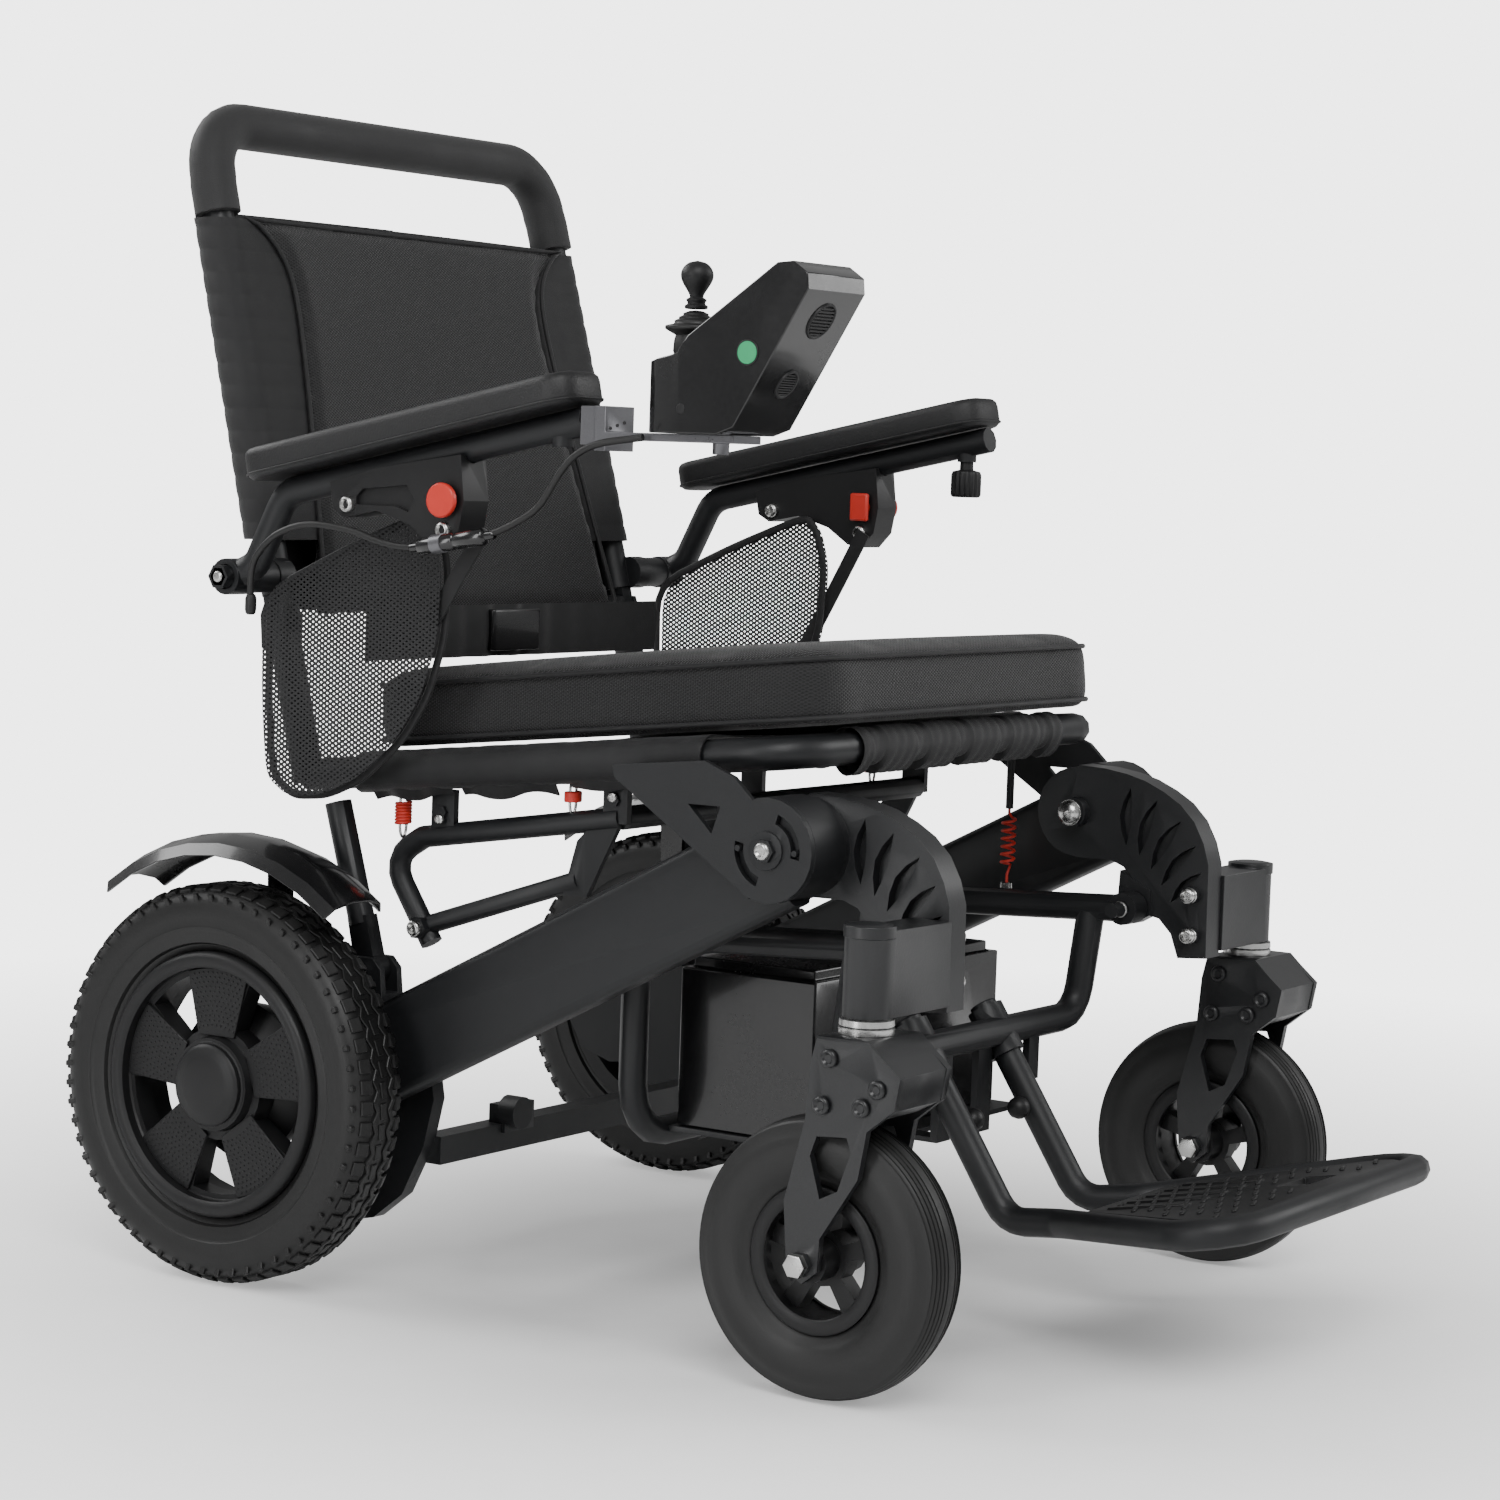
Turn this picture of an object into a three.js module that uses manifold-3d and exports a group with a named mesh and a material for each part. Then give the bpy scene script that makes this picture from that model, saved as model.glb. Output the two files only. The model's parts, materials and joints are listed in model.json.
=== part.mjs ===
// Folding power wheelchair. Millimetres, +Z up, the chair faces -Y, its own right side is -X.
// All side parts are written for the left side (+X) and mirrored for the right side.
import * as THREE from "three";
import { mergeVertices } from "three/addons/utils/BufferGeometryUtils.js";
import Module from "manifold-3d";

const wasm = await Module();
wasm.setup();

// ---- driving dimensions -------------------------------------------------------------------
const GAP = 0.3; // air left between neighbouring pieces
const AXLE_Z = 156; // rear axle height = rear tyre radius
const REAR_R = 156; // 12 1/2 x 2 1/4 tyre
const REAR_X = 303; // rear tyre centre plane
const REAR_HALF_W = 28.5;
const CASTER_R = 100; // 200 x 50 tyre
const CASTER_HALF_W = 25;
const STEM_X = 295.5; // caster stem axis
const STEM_Y = -572;
const CASTER_AXLE_Y = -547.6; // trail of 24.4 behind the stem
const PIVOT = [-466, 374]; // main folding pivot, y and z
const PIVOT_R = 38; // round ends at the main pivot
const BEAM_X = [230, 258]; // side beam, inner and outer face
const BEAM_DEPTH = 73;
const BEAM_AXIS = [[-62, 159.5], [-466, 367.5]]; // centre line of the side beam
const DRUM_X = [222.3, 261.7];
const PLATE_X = [262, 267]; // seat side plate
const ARM_X = [190, 214]; // cast front arm
const RAIL_X = 225;
const RAIL_R = 12.5;
const RAIL_FRONT = [-458, 441];
const RAIL_REAR = [-6, 391];
const SLEEVE_R = 15.5; // fabric sleeve round a rail or post
const SLEEVE_BORE = 12.9;
const POST_X = [229, 220.5]; // back post at its foot and at its bend
const BACK_HINGE = [23.9, 515]; // backrest hinge, y and z
const HANDLE = [126.5, 903]; // centre of the handle bar, y and z
const ARM_AXIS = [20, 546]; // armrest pivot, y and z
const ARM_TUBE_X = 288.5;
const ARM_TUBE_R = 11;
const ARM_FRONT = [-314, 673.5];
const ARM_KNEE = [-31, 612.5];
const KNOB_Y = -292; // clamp knob under the armrest tube
const CUSHION = { halfWidth: 226, rear: -42, front: -484, thick: 61, round: 45 };
const HANGER_X = 176;
const LEG_X = 57; // footrest legs
const LEG_TOP = [-461, 230];
const LEG_DIR = [-0.5497, -0.8353];
const LEG_R = 11;
const LOOP_REAR_Y = -604; // footrest loop, rear end
const LOOP_FRONT = [-796, 132]; // and its front run, y and z
const STRUT_FOOT = [-90, 248];
const STRUT_X = 244;

// ---- colours: every mesh gets its own material record ---------------------------------------
const LOOKS = {
  frame: [0x16171a, 0.55, 0.3],
  cast: [0x1b1c1f, 0.5, 0.4],
  chrome: [0xc9ccd0, 0.2, 1],
  rubber: [0x0c0c0d, 0.85, 0],
  plastic: [0x101113, 0.5, 0],
  gloss: [0x0b0c0e, 0.15, 0],
  foam: [0x131416, 0.9, 0],
  mesh: [0x0e0e10, 0.95, 0],
  fabric: [0x101012, 0.95, 0],
  red: [0xc81e14, 0.4, 0],
  grey: [0x55585c, 0.4, 0.2],
};

// ---- geometry helpers -----------------------------------------------------------------------
function toSolid(geometry) {
  const bare = geometry.clone();
  bare.deleteAttribute("normal");
  bare.deleteAttribute("uv");
  const welded = mergeVertices(bare, 1e-4);
  const solid = new wasm.Mesh({
    numProp: 3,
    vertProperties: new Float32Array(welded.attributes.position.array),
    triVerts: new Uint32Array(welded.index.array),
  });
  return new wasm.Manifold(solid);
}

function toGeometry(solid) {
  const mesh = solid.asOriginal().simplify(0.02).getMesh();
  const geometry = new THREE.BufferGeometry();
  const points = new Float32Array(mesh.numVert * 3);
  for (let i = 0; i < mesh.numVert; i += 1) {
    for (let k = 0; k < 3; k += 1) points[3 * i + k] = mesh.vertProperties[i * mesh.numProp + k];
  }
  geometry.setAttribute("position", new THREE.BufferAttribute(points, 3));
  geometry.setIndex([...mesh.triVerts]);
  return geometry;
}

const join = (...parts) => parts.reduce((a, b) => a.add(b));
const cut = (solid, ...tools) => tools.reduce((a, b) => a.subtract(b), solid);

// A shape drawn in the Y-Z plane and given thickness along X.
function slabX(points, x0, x1, holes = []) {
  const shape = new THREE.Shape(points.map(([y, z]) => new THREE.Vector2(y, z)));
  for (const hole of holes) {
    shape.holes.push(new THREE.Path(hole.map(([y, z]) => new THREE.Vector2(y, z))));
  }
  const geometry = new THREE.ExtrudeGeometry(shape, { depth: x1 - x0, bevelEnabled: false });
  geometry.applyMatrix4(new THREE.Matrix4().set(0, 0, 1, x0, 1, 0, 0, 0, 0, 1, 0, 0, 0, 0, 0, 1));
  return toSolid(geometry);
}

function box(x0, x1, y0, y1, z0, z1) {
  const geometry = new THREE.BoxGeometry(x1 - x0, y1 - y0, z1 - z0);
  geometry.translate((x0 + x1) / 2, (y0 + y1) / 2, (z0 + z1) / 2);
  return toSolid(geometry);
}

function circle(y, z, r, sides = 20) {
  const points = [];
  for (let i = 0; i < sides; i += 1) {
    const a = (2 * Math.PI * i) / sides;
    points.push([y + r * Math.cos(a), z + r * Math.sin(a)]);
  }
  return points;
}

const discX = (y, z, r, x0, x1, sides = 20) => slabX(circle(y, z, r, sides), x0, x1);

// A cylinder between two points.
function rod(from, to, r, sides = 10) {
  const a = new THREE.Vector3(...from);
  const b = new THREE.Vector3(...to);
  const geometry = new THREE.CylinderGeometry(r, r, a.distanceTo(b), sides, 1);
  const turn = new THREE.Quaternion().setFromUnitVectors(
    new THREE.Vector3(0, 1, 0),
    b.clone().sub(a).normalize(),
  );
  geometry.applyQuaternion(turn);
  geometry.translate((a.x + b.x) / 2, (a.y + b.y) / 2, (a.z + b.z) / 2);
  return toSolid(geometry);
}

// Samples of a path: straight runs with round bends, bends[i] is the radius at corner i.
function bendPath(corners, bends, bendSteps = 5) {
  const points = corners.map((c) => new THREE.Vector3(...c));
  const out = [points[0]];
  for (let i = 1; i < points.length - 1; i += 1) {
    const back = points[i - 1].clone().sub(points[i]).normalize();
    const ahead = points[i + 1].clone().sub(points[i]).normalize();
    const radius = Array.isArray(bends) ? bends[i - 1] : bends;
    const half = back.angleTo(ahead) / 2;
    const reach = radius / Math.tan(half);
    const middle = back.clone().add(ahead).normalize();
    const centre = points[i].clone().addScaledVector(middle, radius / Math.sin(half));
    const start = points[i].clone().addScaledVector(back, reach).sub(centre);
    const end = points[i].clone().addScaledVector(ahead, reach).sub(centre);
    const sweep = start.angleTo(end);
    for (let k = 0; k <= bendSteps; k += 1) {
      const t = k / bendSteps;
      const p = start.clone().multiplyScalar(Math.sin((1 - t) * sweep));
      p.addScaledVector(end, Math.sin(t * sweep)).divideScalar(Math.sin(sweep));
      out.push(p.add(centre));
    }
  }
  out.push(points[points.length - 1]);
  return out;
}

// A curve that hands its own samples to ExtrudeGeometry, with frames that do not twist.
class SampledCurve extends THREE.Curve {
  constructor(points, side) {
    super();
    this.points = points;
    this.side = new THREE.Vector3(...side);
  }

  at(u) {
    return Math.min(this.points.length - 1, Math.round(u * (this.points.length - 1)));
  }

  getPoint(u) {
    return this.points[this.at(u)].clone();
  }

  getPointAt(u) {
    return this.getPoint(u);
  }

  computeFrenetFrames() {
    const tangents = [];
    const last = this.points.length - 1;
    for (let i = 0; i <= last; i += 1) {
      const a = this.points[Math.max(0, i - 1)];
      const b = this.points[Math.min(last, i + 1)];
      const c = this.points[i];
      const before = c.clone().sub(a).normalize();
      const after = b.clone().sub(c).normalize();
      tangents.push(before.add(after).normalize());
    }
    const normals = [];
    const binormals = [];
    let normal = this.side.clone();
    for (const t of tangents) {
      normal = normal.clone().addScaledVector(t, -normal.dot(t)).normalize();
      normals.push(normal);
      binormals.push(new THREE.Vector3().crossVectors(t, normal));
    }
    return { tangents, normals, binormals };
  }
}

// A closed section swept along samples; the section's x runs along `side` at the start.
function sweep(section, points, side, hole = null) {
  const shape = new THREE.Shape(section.map(([x, y]) => new THREE.Vector2(x, y)));
  if (hole) shape.holes.push(new THREE.Path(hole.map(([x, y]) => new THREE.Vector2(x, y))));
  const path = new SampledCurve(points, side);
  const options = { steps: points.length - 1, bevelEnabled: false, extrudePath: path };
  return toSolid(new THREE.ExtrudeGeometry(shape, options));
}

function tube(corners, bends, r, { sides = 10, side = [1, 0, 0], bore = 0, steps = 4 } = {}) {
  const hole = bore ? circle(0, 0, bore, sides) : null;
  return sweep(circle(0, 0, r, sides), bendPath(corners, bends, steps), side, hole);
}

function roundRect(w, h, r, steps = 3) {
  const points = [];
  const dx = w / 2 - r;
  const dy = h / 2 - r;
  const centres = [[dx, dy], [-dx, dy], [-dx, -dy], [dx, -dy]];
  centres.forEach(([cx, cy], quarter) => {
    for (let k = 0; k <= steps; k += 1) {
      const a = (Math.PI / 2) * (quarter + k / steps);
      points.push([cx + r * Math.cos(a), cy + r * Math.sin(a)]);
    }
  });
  return points;
}

// A profile of [radius, x] pairs turned about the axis through y, z along X.
function turnX(profile, y, z, sides) {
  const points = profile.map(([r, x]) => new THREE.Vector2(r, x));
  const geometry = new THREE.LatheGeometry(points, sides);
  geometry.rotateZ(-Math.PI / 2);
  geometry.translate(0, y, z);
  let solid = toSolid(geometry);
  if (solid.volume() < 0) throw new Error("profile runs the wrong way");
  return solid;
}

const mirror = (solid) => solid.mirror([1, 0, 0]);

const lineAt = ([y0, z0], [y1, z1], y) => z0 + ((z1 - z0) * (y - y0)) / (y1 - y0);
const slopeOf = (rear, front) =>
  THREE.MathUtils.radToDeg(Math.atan2(front[1] - rear[1], rear[0] - front[0]));
const railZ = (y) => lineAt(RAIL_REAR, RAIL_FRONT, y);
const postX = (z) => lineAt([BACK_HINGE[1], POST_X[0]], [830, POST_X[1]], z);
const postY = (z) => lineAt([BACK_HINGE[1], BACK_HINGE[0]], [HANDLE[1], HANDLE[0]], z);
const armZ = (y) => lineAt(ARM_KNEE, ARM_FRONT, y);

// ---- rear frame -----------------------------------------------------------------------------
function makeBeam() {
  const [rear, front] = BEAM_AXIS;
  const x = (BEAM_X[0] + BEAM_X[1]) / 2;
  const section = roundRect(BEAM_X[1] - BEAM_X[0], BEAM_DEPTH, 7);
  const path = [new THREE.Vector3(x, ...rear), new THREE.Vector3(x, ...front)];
  const bar = sweep(section, path, [1, 0, 0]);
  const drum = discX(...PIVOT, PIVOT_R, ...DRUM_X, 24);
  // two stop pins that ride in the arc slots of the seat side plate
  const pins = [24, -24].map((dy) => discX(PIVOT[0] + dy, PIVOT[1], 2.4, 261, 269, 8));
  // the strut's hinge block on the beam's rear end
  const block = [[-112, 215], [-70, 200], [-71, 250], [-79, 258], [-101, 258], [-109, 250]];
  const ears = cut(
    slabX(block, 231, 257),
    box(236.7, 251.3, -120, -60, 231, 270),
  );
  const pin = discX(...STRUT_FOOT, 4, 230, 258, 12);
  return join(bar, drum, ...pins, ears, pin);
}

const MOUNT = [
  [-138, 178], [-143, 150], [-134, 112], [-114, 72], [-86, 50], [-64, 45], [-40, 54], [-28, 84],
  [-18, 112], [12, 108], [42, 118], [58, 142], [58, 172], [40, 196], [12, 206], [-14, 214], [-48, 208],
  [-98, 190],
];

function makeRearSubframe() {
  const plate = slabX(MOUNT, 216, BEAM_X[0] - GAP);
  const axle = discX(0, AXLE_Z, 9, 217, 300, 16);
  const boss = discX(0, AXLE_Z, 34, 225, 250, 20);
  const bracket = join(rod([222, -14, 203], [259, -14, 229], 5, 8), discX(-14, 229, 5, 255, 268, 8));
  const side = join(plate, axle, boss, bracket);
  const member = box(-217, 217, -141, -121, 97, 119);
  const cap = rod([-130, -138, 128], [-130, -154, 128], 13, 16);
  const stalk = box(-140, -102, -144, -128, 112, 134);
  return join(side, mirror(side), member, cap, stalk);
}

function makeFender() {
  const outer = 195;
  const points = [];
  for (let i = 0; i <= 8; i += 1) {
    const a = THREE.MathUtils.degToRad(-39 + 9.5 * i);
    const reach = outer - 6 * (i / 8);
    points.push(new THREE.Vector3(REAR_X, reach * Math.sin(a), AXLE_Z + reach * Math.cos(a)));
  }
  const arch = [];
  const inner = [];
  for (let i = 0; i <= 5; i += 1) {
    const a = Math.PI * (i / 5);
    arch.push([34 * Math.cos(a) - 4, -14 + 16 * Math.sin(a)]);
    inner.unshift([31 * Math.cos(a) - 4, -14 + 13 * Math.sin(a)]);
  }
  // travelling rearward, side x cross tangent points down, so the section is flipped
  const section = [...arch, ...inner].map(([x, y]) => [x, -y]).reverse();
  const shell = sweep(section, points, [1, 0, 0]);
  const tab = slabX([[-24, 229], [-4, 229], [-2, 338], [-28, 338]], 264, 268);
  const foot = discX(-14, 229, 10, 264, 268, 12);
  return cut(join(shell, tab, foot), discX(-14, 229, 5.4, 250, 280, 8));
}

function makeRearTyre() {
  const w = REAR_HALF_W;
  const profile = [
    [105, -w + 8], [118, -w + 2], [132, -w], [146, -w + 4.5], [156, -11], [156, 11],
    [146, w - 4.5], [132, w], [118, w - 2], [105, w - 8], [103.3, w - 10], [103.3, 10 - w],
    [105, -w + 8],
  ].map(([r, x]) => [r, x + REAR_X]);
  return turnX(profile, 0, AXLE_Z, 36);
}

// A window between two spokes: radii r0 to r1, half angles a0 and a1 in degrees.
function window([cy, cz], r0, r1, a0, a1, middle) {
  const points = [];
  const at = (r, a) => {
    const t = THREE.MathUtils.degToRad(middle + a);
    return [cy + r * Math.cos(t), cz + r * Math.sin(t)];
  };
  for (let i = 0; i <= 2; i += 1) points.push(at(r0, -a0 + a0 * i));
  for (let i = 0; i <= 3; i += 1) points.push(at(r1, a1 - (2 * a1 * i) / 3));
  return points.reverse();
}

function makeRearWheel() {
  const rim = [
    [90, 278], [103, 278], [103, 326], [96, 328], [90, 318], [90, 278],
  ];
  const ring = turnX(rim, 0, AXLE_Z, 36);
  const centre = [0, AXLE_Z];
  const holes = [];
  for (let i = 0; i < 5; i += 1) holes.push(window(centre, 44, 86, 16, 15, 54 + 72 * i));
  const web = slabX(circle(0, AXLE_Z, 92, 36), 300, 318, holes);
  const motor = turnX([[0, 262.3], [56, 262.3], [62, 290], [40, 301], [36, 326], [0, 326]], 0, AXLE_Z, 24);
  const cap = turnX([[0, 325], [32, 325], [32, 330], [29, 332.6], [0, 332.8]], 0, AXLE_Z, 24);
  const bore = discX(0, AXLE_Z, 9.5, 250, 300.5, 16);
  return cut(join(ring, web, motor, cap), bore);
}

function makeStrut() {
  const [y, z] = STRUT_FOOT;
  const top = [-52, 374];
  const bar = rod([STRUT_X, y + 10.5, z + 34], [STRUT_X, ...top], 10.5, 12);
  const eye = discX(y, z, 13, 237, 251, 20);
  const neck = slabX([[y - 8, z + 6], [y + 12, z + 2], [y + 20, z + 38], [y + 2, z + 42]], 237, 251);
  return cut(join(bar, eye, neck), discX(y, z, 4.4, 230, 260, 12));
}

// ---- front frame ----------------------------------------------------------------------------
const ARM_OUTLINE = [
  [-466, 412], [-490, 411], [-510, 408], [-527, 403.5], [-544, 396], [-559, 387], [-572, 374],
  [-581, 357.5], [-586, 341], [-587, 266], [-562, 264], [-555, 283], [-544, 294], [-534, 296],
  [-524, 313], [-519, 324], [-510, 333], [-498, 337.5], [-466, 337],
];

function leaf([y0, z0], [y1, z1], bow) {
  const points = [];
  const back = [];
  for (let i = 0; i <= 4; i += 1) {
    const t = i / 4;
    const y = y0 + (y1 - y0) * t;
    const z = z0 + (z1 - z0) * t;
    const side = Math.sin(Math.PI * t) * bow;
    const length = Math.hypot(y1 - y0, z1 - z0);
    const ny = (z1 - z0) / length;
    const nz = -(y1 - y0) / length;
    points.push([y + ny * side, z + nz * side]);
    if (i > 0 && i < 4) back.unshift([y - ny * side * 0.35, z - nz * side * 0.35]);
  }
  return [...points, ...back];
}

function makeCastArm() {
  const body = slabX(ARM_OUTLINE, ARM_X[0], ARM_X[1] - GAP);
  const eye = discX(...PIVOT, 36.5, ARM_X[0], DRUM_X[0] - GAP, 24);
  const nut = join(discX(...PIVOT, 12, 181, 191, 16), discX(...PIVOT, 7, 177, 182, 12));
  const leaves = [
    [[-512, 350], [-514, 397], 8], [[-524, 343], [-538, 389], 8], [[-535, 333], [-560, 374], 8],
    [[-545, 321], [-574, 355], 7], [[-554, 308], [-580, 334], 6],
  ];
  const pockets = [];
  for (const [from, to, bow] of leaves) {
    const flat = leaf(from, to, bow);
    const wound = THREE.ShapeUtils.isClockWise(flat.map(([a, b]) => new THREE.Vector2(a, b)));
    const points = wound ? [...flat].reverse() : flat;
    pockets.push(slabX(points, ARM_X[1] - 9, ARM_X[1] + 5), slabX(points, ARM_X[0] - 5, ARM_X[0] + 8));
  }
  const bolts = [
    discX(-574, 316, 6.5, 183, 191, 12), discX(-575, 284, 6.5, 183, 191, 12),
    discX(-522, 301.5, 6, 150, 191, 12),
  ];
  const lug = slabX([[-536, 316], [-508, 330], [-506, 296], [-522, 288], [-536, 296]], 189, 206);
  return join(cut(join(body, eye), ...pockets), nut, ...bolts, lug);
}

function makeCasterHead() {
  const barrel = rod([STEM_X, STEM_Y, 270.5], [STEM_X, STEM_Y, 332], 17.5, 24);
  const rim = rod([STEM_X, STEM_Y, 326], [STEM_X, STEM_Y, 334.5], 18.5, 24);
  const link = box(ARM_X[1], STEM_X, -589, -556, 270.5, 331);
  const bore = rod([STEM_X, STEM_Y, 260], [STEM_X, STEM_Y, 324], 10.6, 16);
  return cut(join(barrel, rim, link), bore);
}

const FORK_PLATE = [
  [-553, 257], [-596, 258], [-621, 237], [-617, 215], [-596, 198], [-590, 164], [-561, 119],
  [-560, 96], [-547.6, 86], [-535, 94], [-531, 142], [-546, 200], [-549, 240],
];

function makeFork() {
  const outer = slabX(FORK_PLATE, 323.5, 329.5);
  const inner = slabX(FORK_PLATE, 261.5, 267.5);
  const slotOutline = [[-580, 192], [-556, 190], [-551, 176], [-560, 147], [-574, 154], [-584, 182]];
  const slot = slabX(slotOutline, 255, 336);
  const crown = [[-553, 259], [-596, 259], [-620, 237], [-616, 214], [-600, 205], [-556, 205]];
  const block = slabX(crown, 262, 329);
  const stem = rod([STEM_X, STEM_Y, 255], [STEM_X, STEM_Y, 322], 10, 16);
  const ring = rod([STEM_X, STEM_Y, 258], [STEM_X, STEM_Y, 270], 19, 24);
  const axle = discX(CASTER_AXLE_Y, CASTER_R, 5, 252, 339, 12);
  const nuts = [329, 256].map((x) => discX(CASTER_AXLE_Y, CASTER_R, 9, x, x + 6, 6));
  const screws = [];
  for (const [y, z] of [[-565, 245], [-604, 228], [-560, 212], [-592, 214]]) {
    screws.push(discX(y, z, 5, 329, 331.5, 6), discX(y, z, 5, 259.5, 262, 6));
  }
  return join(cut(join(outer, inner), slot), block, stem, ring, axle, ...nuts, ...screws);
}

function makeCasterTyre() {
  const w = CASTER_HALF_W;
  const profile = [
    [54, -w + 6], [68, -w + 1], [82, -w], [94, -w + 7], [100, -8], [100, 8],
    [94, w - 7], [82, w], [68, w - 1], [54, w - 6], [52.3, w - 8], [52.3, 8 - w],
    [54, -w + 6],
  ].map(([r, x]) => [r, x + STEM_X]);
  return turnX(profile, CASTER_AXLE_Y, CASTER_R, 30);
}

function makeCasterWheel() {
  const rim = [[43, 278], [52, 278], [52, 313], [43, 313], [43, 278]];
  const ring = turnX(rim, CASTER_AXLE_Y, CASTER_R, 24);
  const centre = [CASTER_AXLE_Y, CASTER_R];
  const holes = [];
  for (let i = 0; i < 5; i += 1) holes.push(window(centre, 20, 43, 20, 26, 54 + 72 * i));
  const web = slabX(circle(...centre, 47, 24), 288, 303, holes);
  const hub = discX(...centre, 15, 269, 322, 16);
  return cut(join(ring, web, hub), discX(...centre, 5.6, 250, 340, 12));
}

// ---- footrest hanger and battery --------------------------------------------------------------
function makeHanger() {
  const x = HANGER_X;
  const runs = [];
  for (const s of [1, -1]) {
    runs.push(rod([s * x, -524, 301.5], [s * x, -288, 289], LEG_R));
    runs.push(discX(-522, 301.5, 13, s > 0 ? x - 9 : -x - 11, s > 0 ? x + 11 : 9 - x, 16));
  }
  const front = [[x, -490, 297], [x, -479, 211], [-x, -479, 211], [-x, -490, 297]];
  const rear = [[x, -292, 290], [x, -292, 133], [-x, -292, 133], [-x, -292, 290]];
  const hoops = [tube(front, 24, 11.5, { side: [0, 1, 0] }), tube(rear, 42, 11, { side: [0, 1, 0] })];
  const sleeves = [];
  const bores = [];
  const along = (t) => [LEG_TOP[0] + LEG_DIR[0] * t, LEG_TOP[1] + LEG_DIR[1] * t];
  for (const s of [1, -1]) {
    sleeves.push(rod([s * LEG_X, ...along(4)], [s * LEG_X, ...along(44)], 14.5, 14));
    bores.push(rod([s * LEG_X, ...along(-20)], [s * LEG_X, ...along(80)], 11.7, 16));
  }
  const tabs = [box(92, 108, -485, -479, 168, 212), box(-108, -92, -485, -479, 168, 212)];
  const shelf = box(-140, 140, -450, -296, 135, 139);
  const legs = [box(-40, -20, -479, -442, 135, 139), box(20, 40, -479, -442, 135, 139)];
  legs.push(box(-40, -20, -481, -475, 135, 211), box(20, 40, -481, -475, 135, 211));
  const pinBores = [discX(-522, 301.5, 6.5, 140, 189.7, 12), discX(-522, 301.5, 6.5, -189.7, -140, 12)];
  return cut(join(...runs, ...hoops, ...sleeves, ...tabs, shelf, ...legs), ...bores, ...pinBores);
}

function makeBattery() {
  const body = box(-136, 136, -428, -306, 139.3, 262);
  const lid = box(-128, 128, -422, -312, 262, 270);
  const latch = box(-60, 60, -431, -428, 170, 240);
  return join(body, lid, latch);
}

function makeFootrest() {
  const path = [
    [LEG_X, ...LEG_TOP],
    [LEG_X, -555, 88],
    [LEG_X + 8, LOOP_REAR_Y, 95],
    [196.5, ...LOOP_FRONT],
    [-196.5, ...LOOP_FRONT],
    [-LEG_X - 8, LOOP_REAR_Y, 95],
    [-LEG_X, -555, 88],
    [-LEG_X, ...LEG_TOP],
  ];
  return tube(path, [26, 24, 34, 34, 24, 26], LEG_R, { sides: 10, side: [0, 1, 0] });
}

function makeFootplate() {
  // laid out flat with y measured from the rear end of the loop, then tilted with the loop
  const slope = Math.atan2(LOOP_FRONT[1] - 95, LOOP_REAR_Y - LOOP_FRONT[0]);
  const corner = [132, -164];
  const side = [[66, -24]];
  for (let i = 0; i <= 4; i += 1) {
    const a = THREE.MathUtils.degToRad(34 - 31 * i);
    side.push([corner[0] + 20 * Math.cos(a), corner[1] + 20 * Math.sin(a)]);
  }
  const shape = [...side, ...side.map(([x, y]) => [-x, y]).reverse()];
  const hole = [[20, -136], [70, -136], [70, -162], [20, -162]];
  const outline = new THREE.Shape(shape.reverse().map(([x, y]) => new THREE.Vector2(x, y)));
  outline.holes.push(new THREE.Path(hole.map(([x, y]) => new THREE.Vector2(x, y))));
  let plate = toSolid(new THREE.ExtrudeGeometry(outline, { depth: 6, bevelEnabled: false }));
  for (let i = 0; i < 5; i += 1) {
    const x = -60 + 30 * i;
    plate = plate.add(box(x - 4, x + 4, -106, -40, 5, 7.5));
  }
  return plate.rotate([-THREE.MathUtils.radToDeg(slope), 0, 0]).translate([0, LOOP_REAR_Y, 97]);
}

function makeFootKnob() {
  const t = 88;
  const y = LEG_TOP[0] + LEG_DIR[0] * t;
  const z = LEG_TOP[1] + LEG_DIR[1] * t;
  const ball = new THREE.SphereGeometry(9, 12, 8);
  ball.translate(LEG_X - 22, y, z);
  return join(toSolid(ball), rod([LEG_X - 22, y, z], [LEG_X - 11.4, y, z], 4, 8));
}

// ---- seat -------------------------------------------------------------------------------------
function makeSeatFrame() {
  const [ry, rz] = RAIL_REAR;
  const [fy, fz] = RAIL_FRONT;
  const x = RAIL_X;
  const path = [[x, ry, rz], [x, fy, fz], [-x, fy, fz], [-x, ry, rz]];
  const rails = tube(path, 40, RAIL_R, { side: [0, 0, 1] });
  const cross = rod([x, ry - 14, railZ(ry - 14)], [-x, ry - 14, railZ(ry - 14)], 10, 12);
  const parts = [rails, cross];
  const [hy, hz] = BACK_HINGE;
  for (const s of [1, -1]) {
    const px = s * POST_X[0];
    parts.push(rod([px, postY(390), 386], [px, postY(hz - 16), hz - 16], RAIL_R));
    for (const [a, b] of [[-12, -7.6], [7.6, 12]]) {
      const ear = [
        [hy - 11, hz - 26],
        [hy + 9, hz - 26],
        [hy + 11, hz],
        [hy + 7, hz + 10],
        [hy - 7, hz + 10],
        [hy - 11, hz],
      ];
      parts.push(slabX(ear, px + a, px + b));
    }
    parts.push(discX(hy, hz, 4, px - 12.5, px + 12.5, 12));
  }
  return join(...parts);
}

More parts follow.
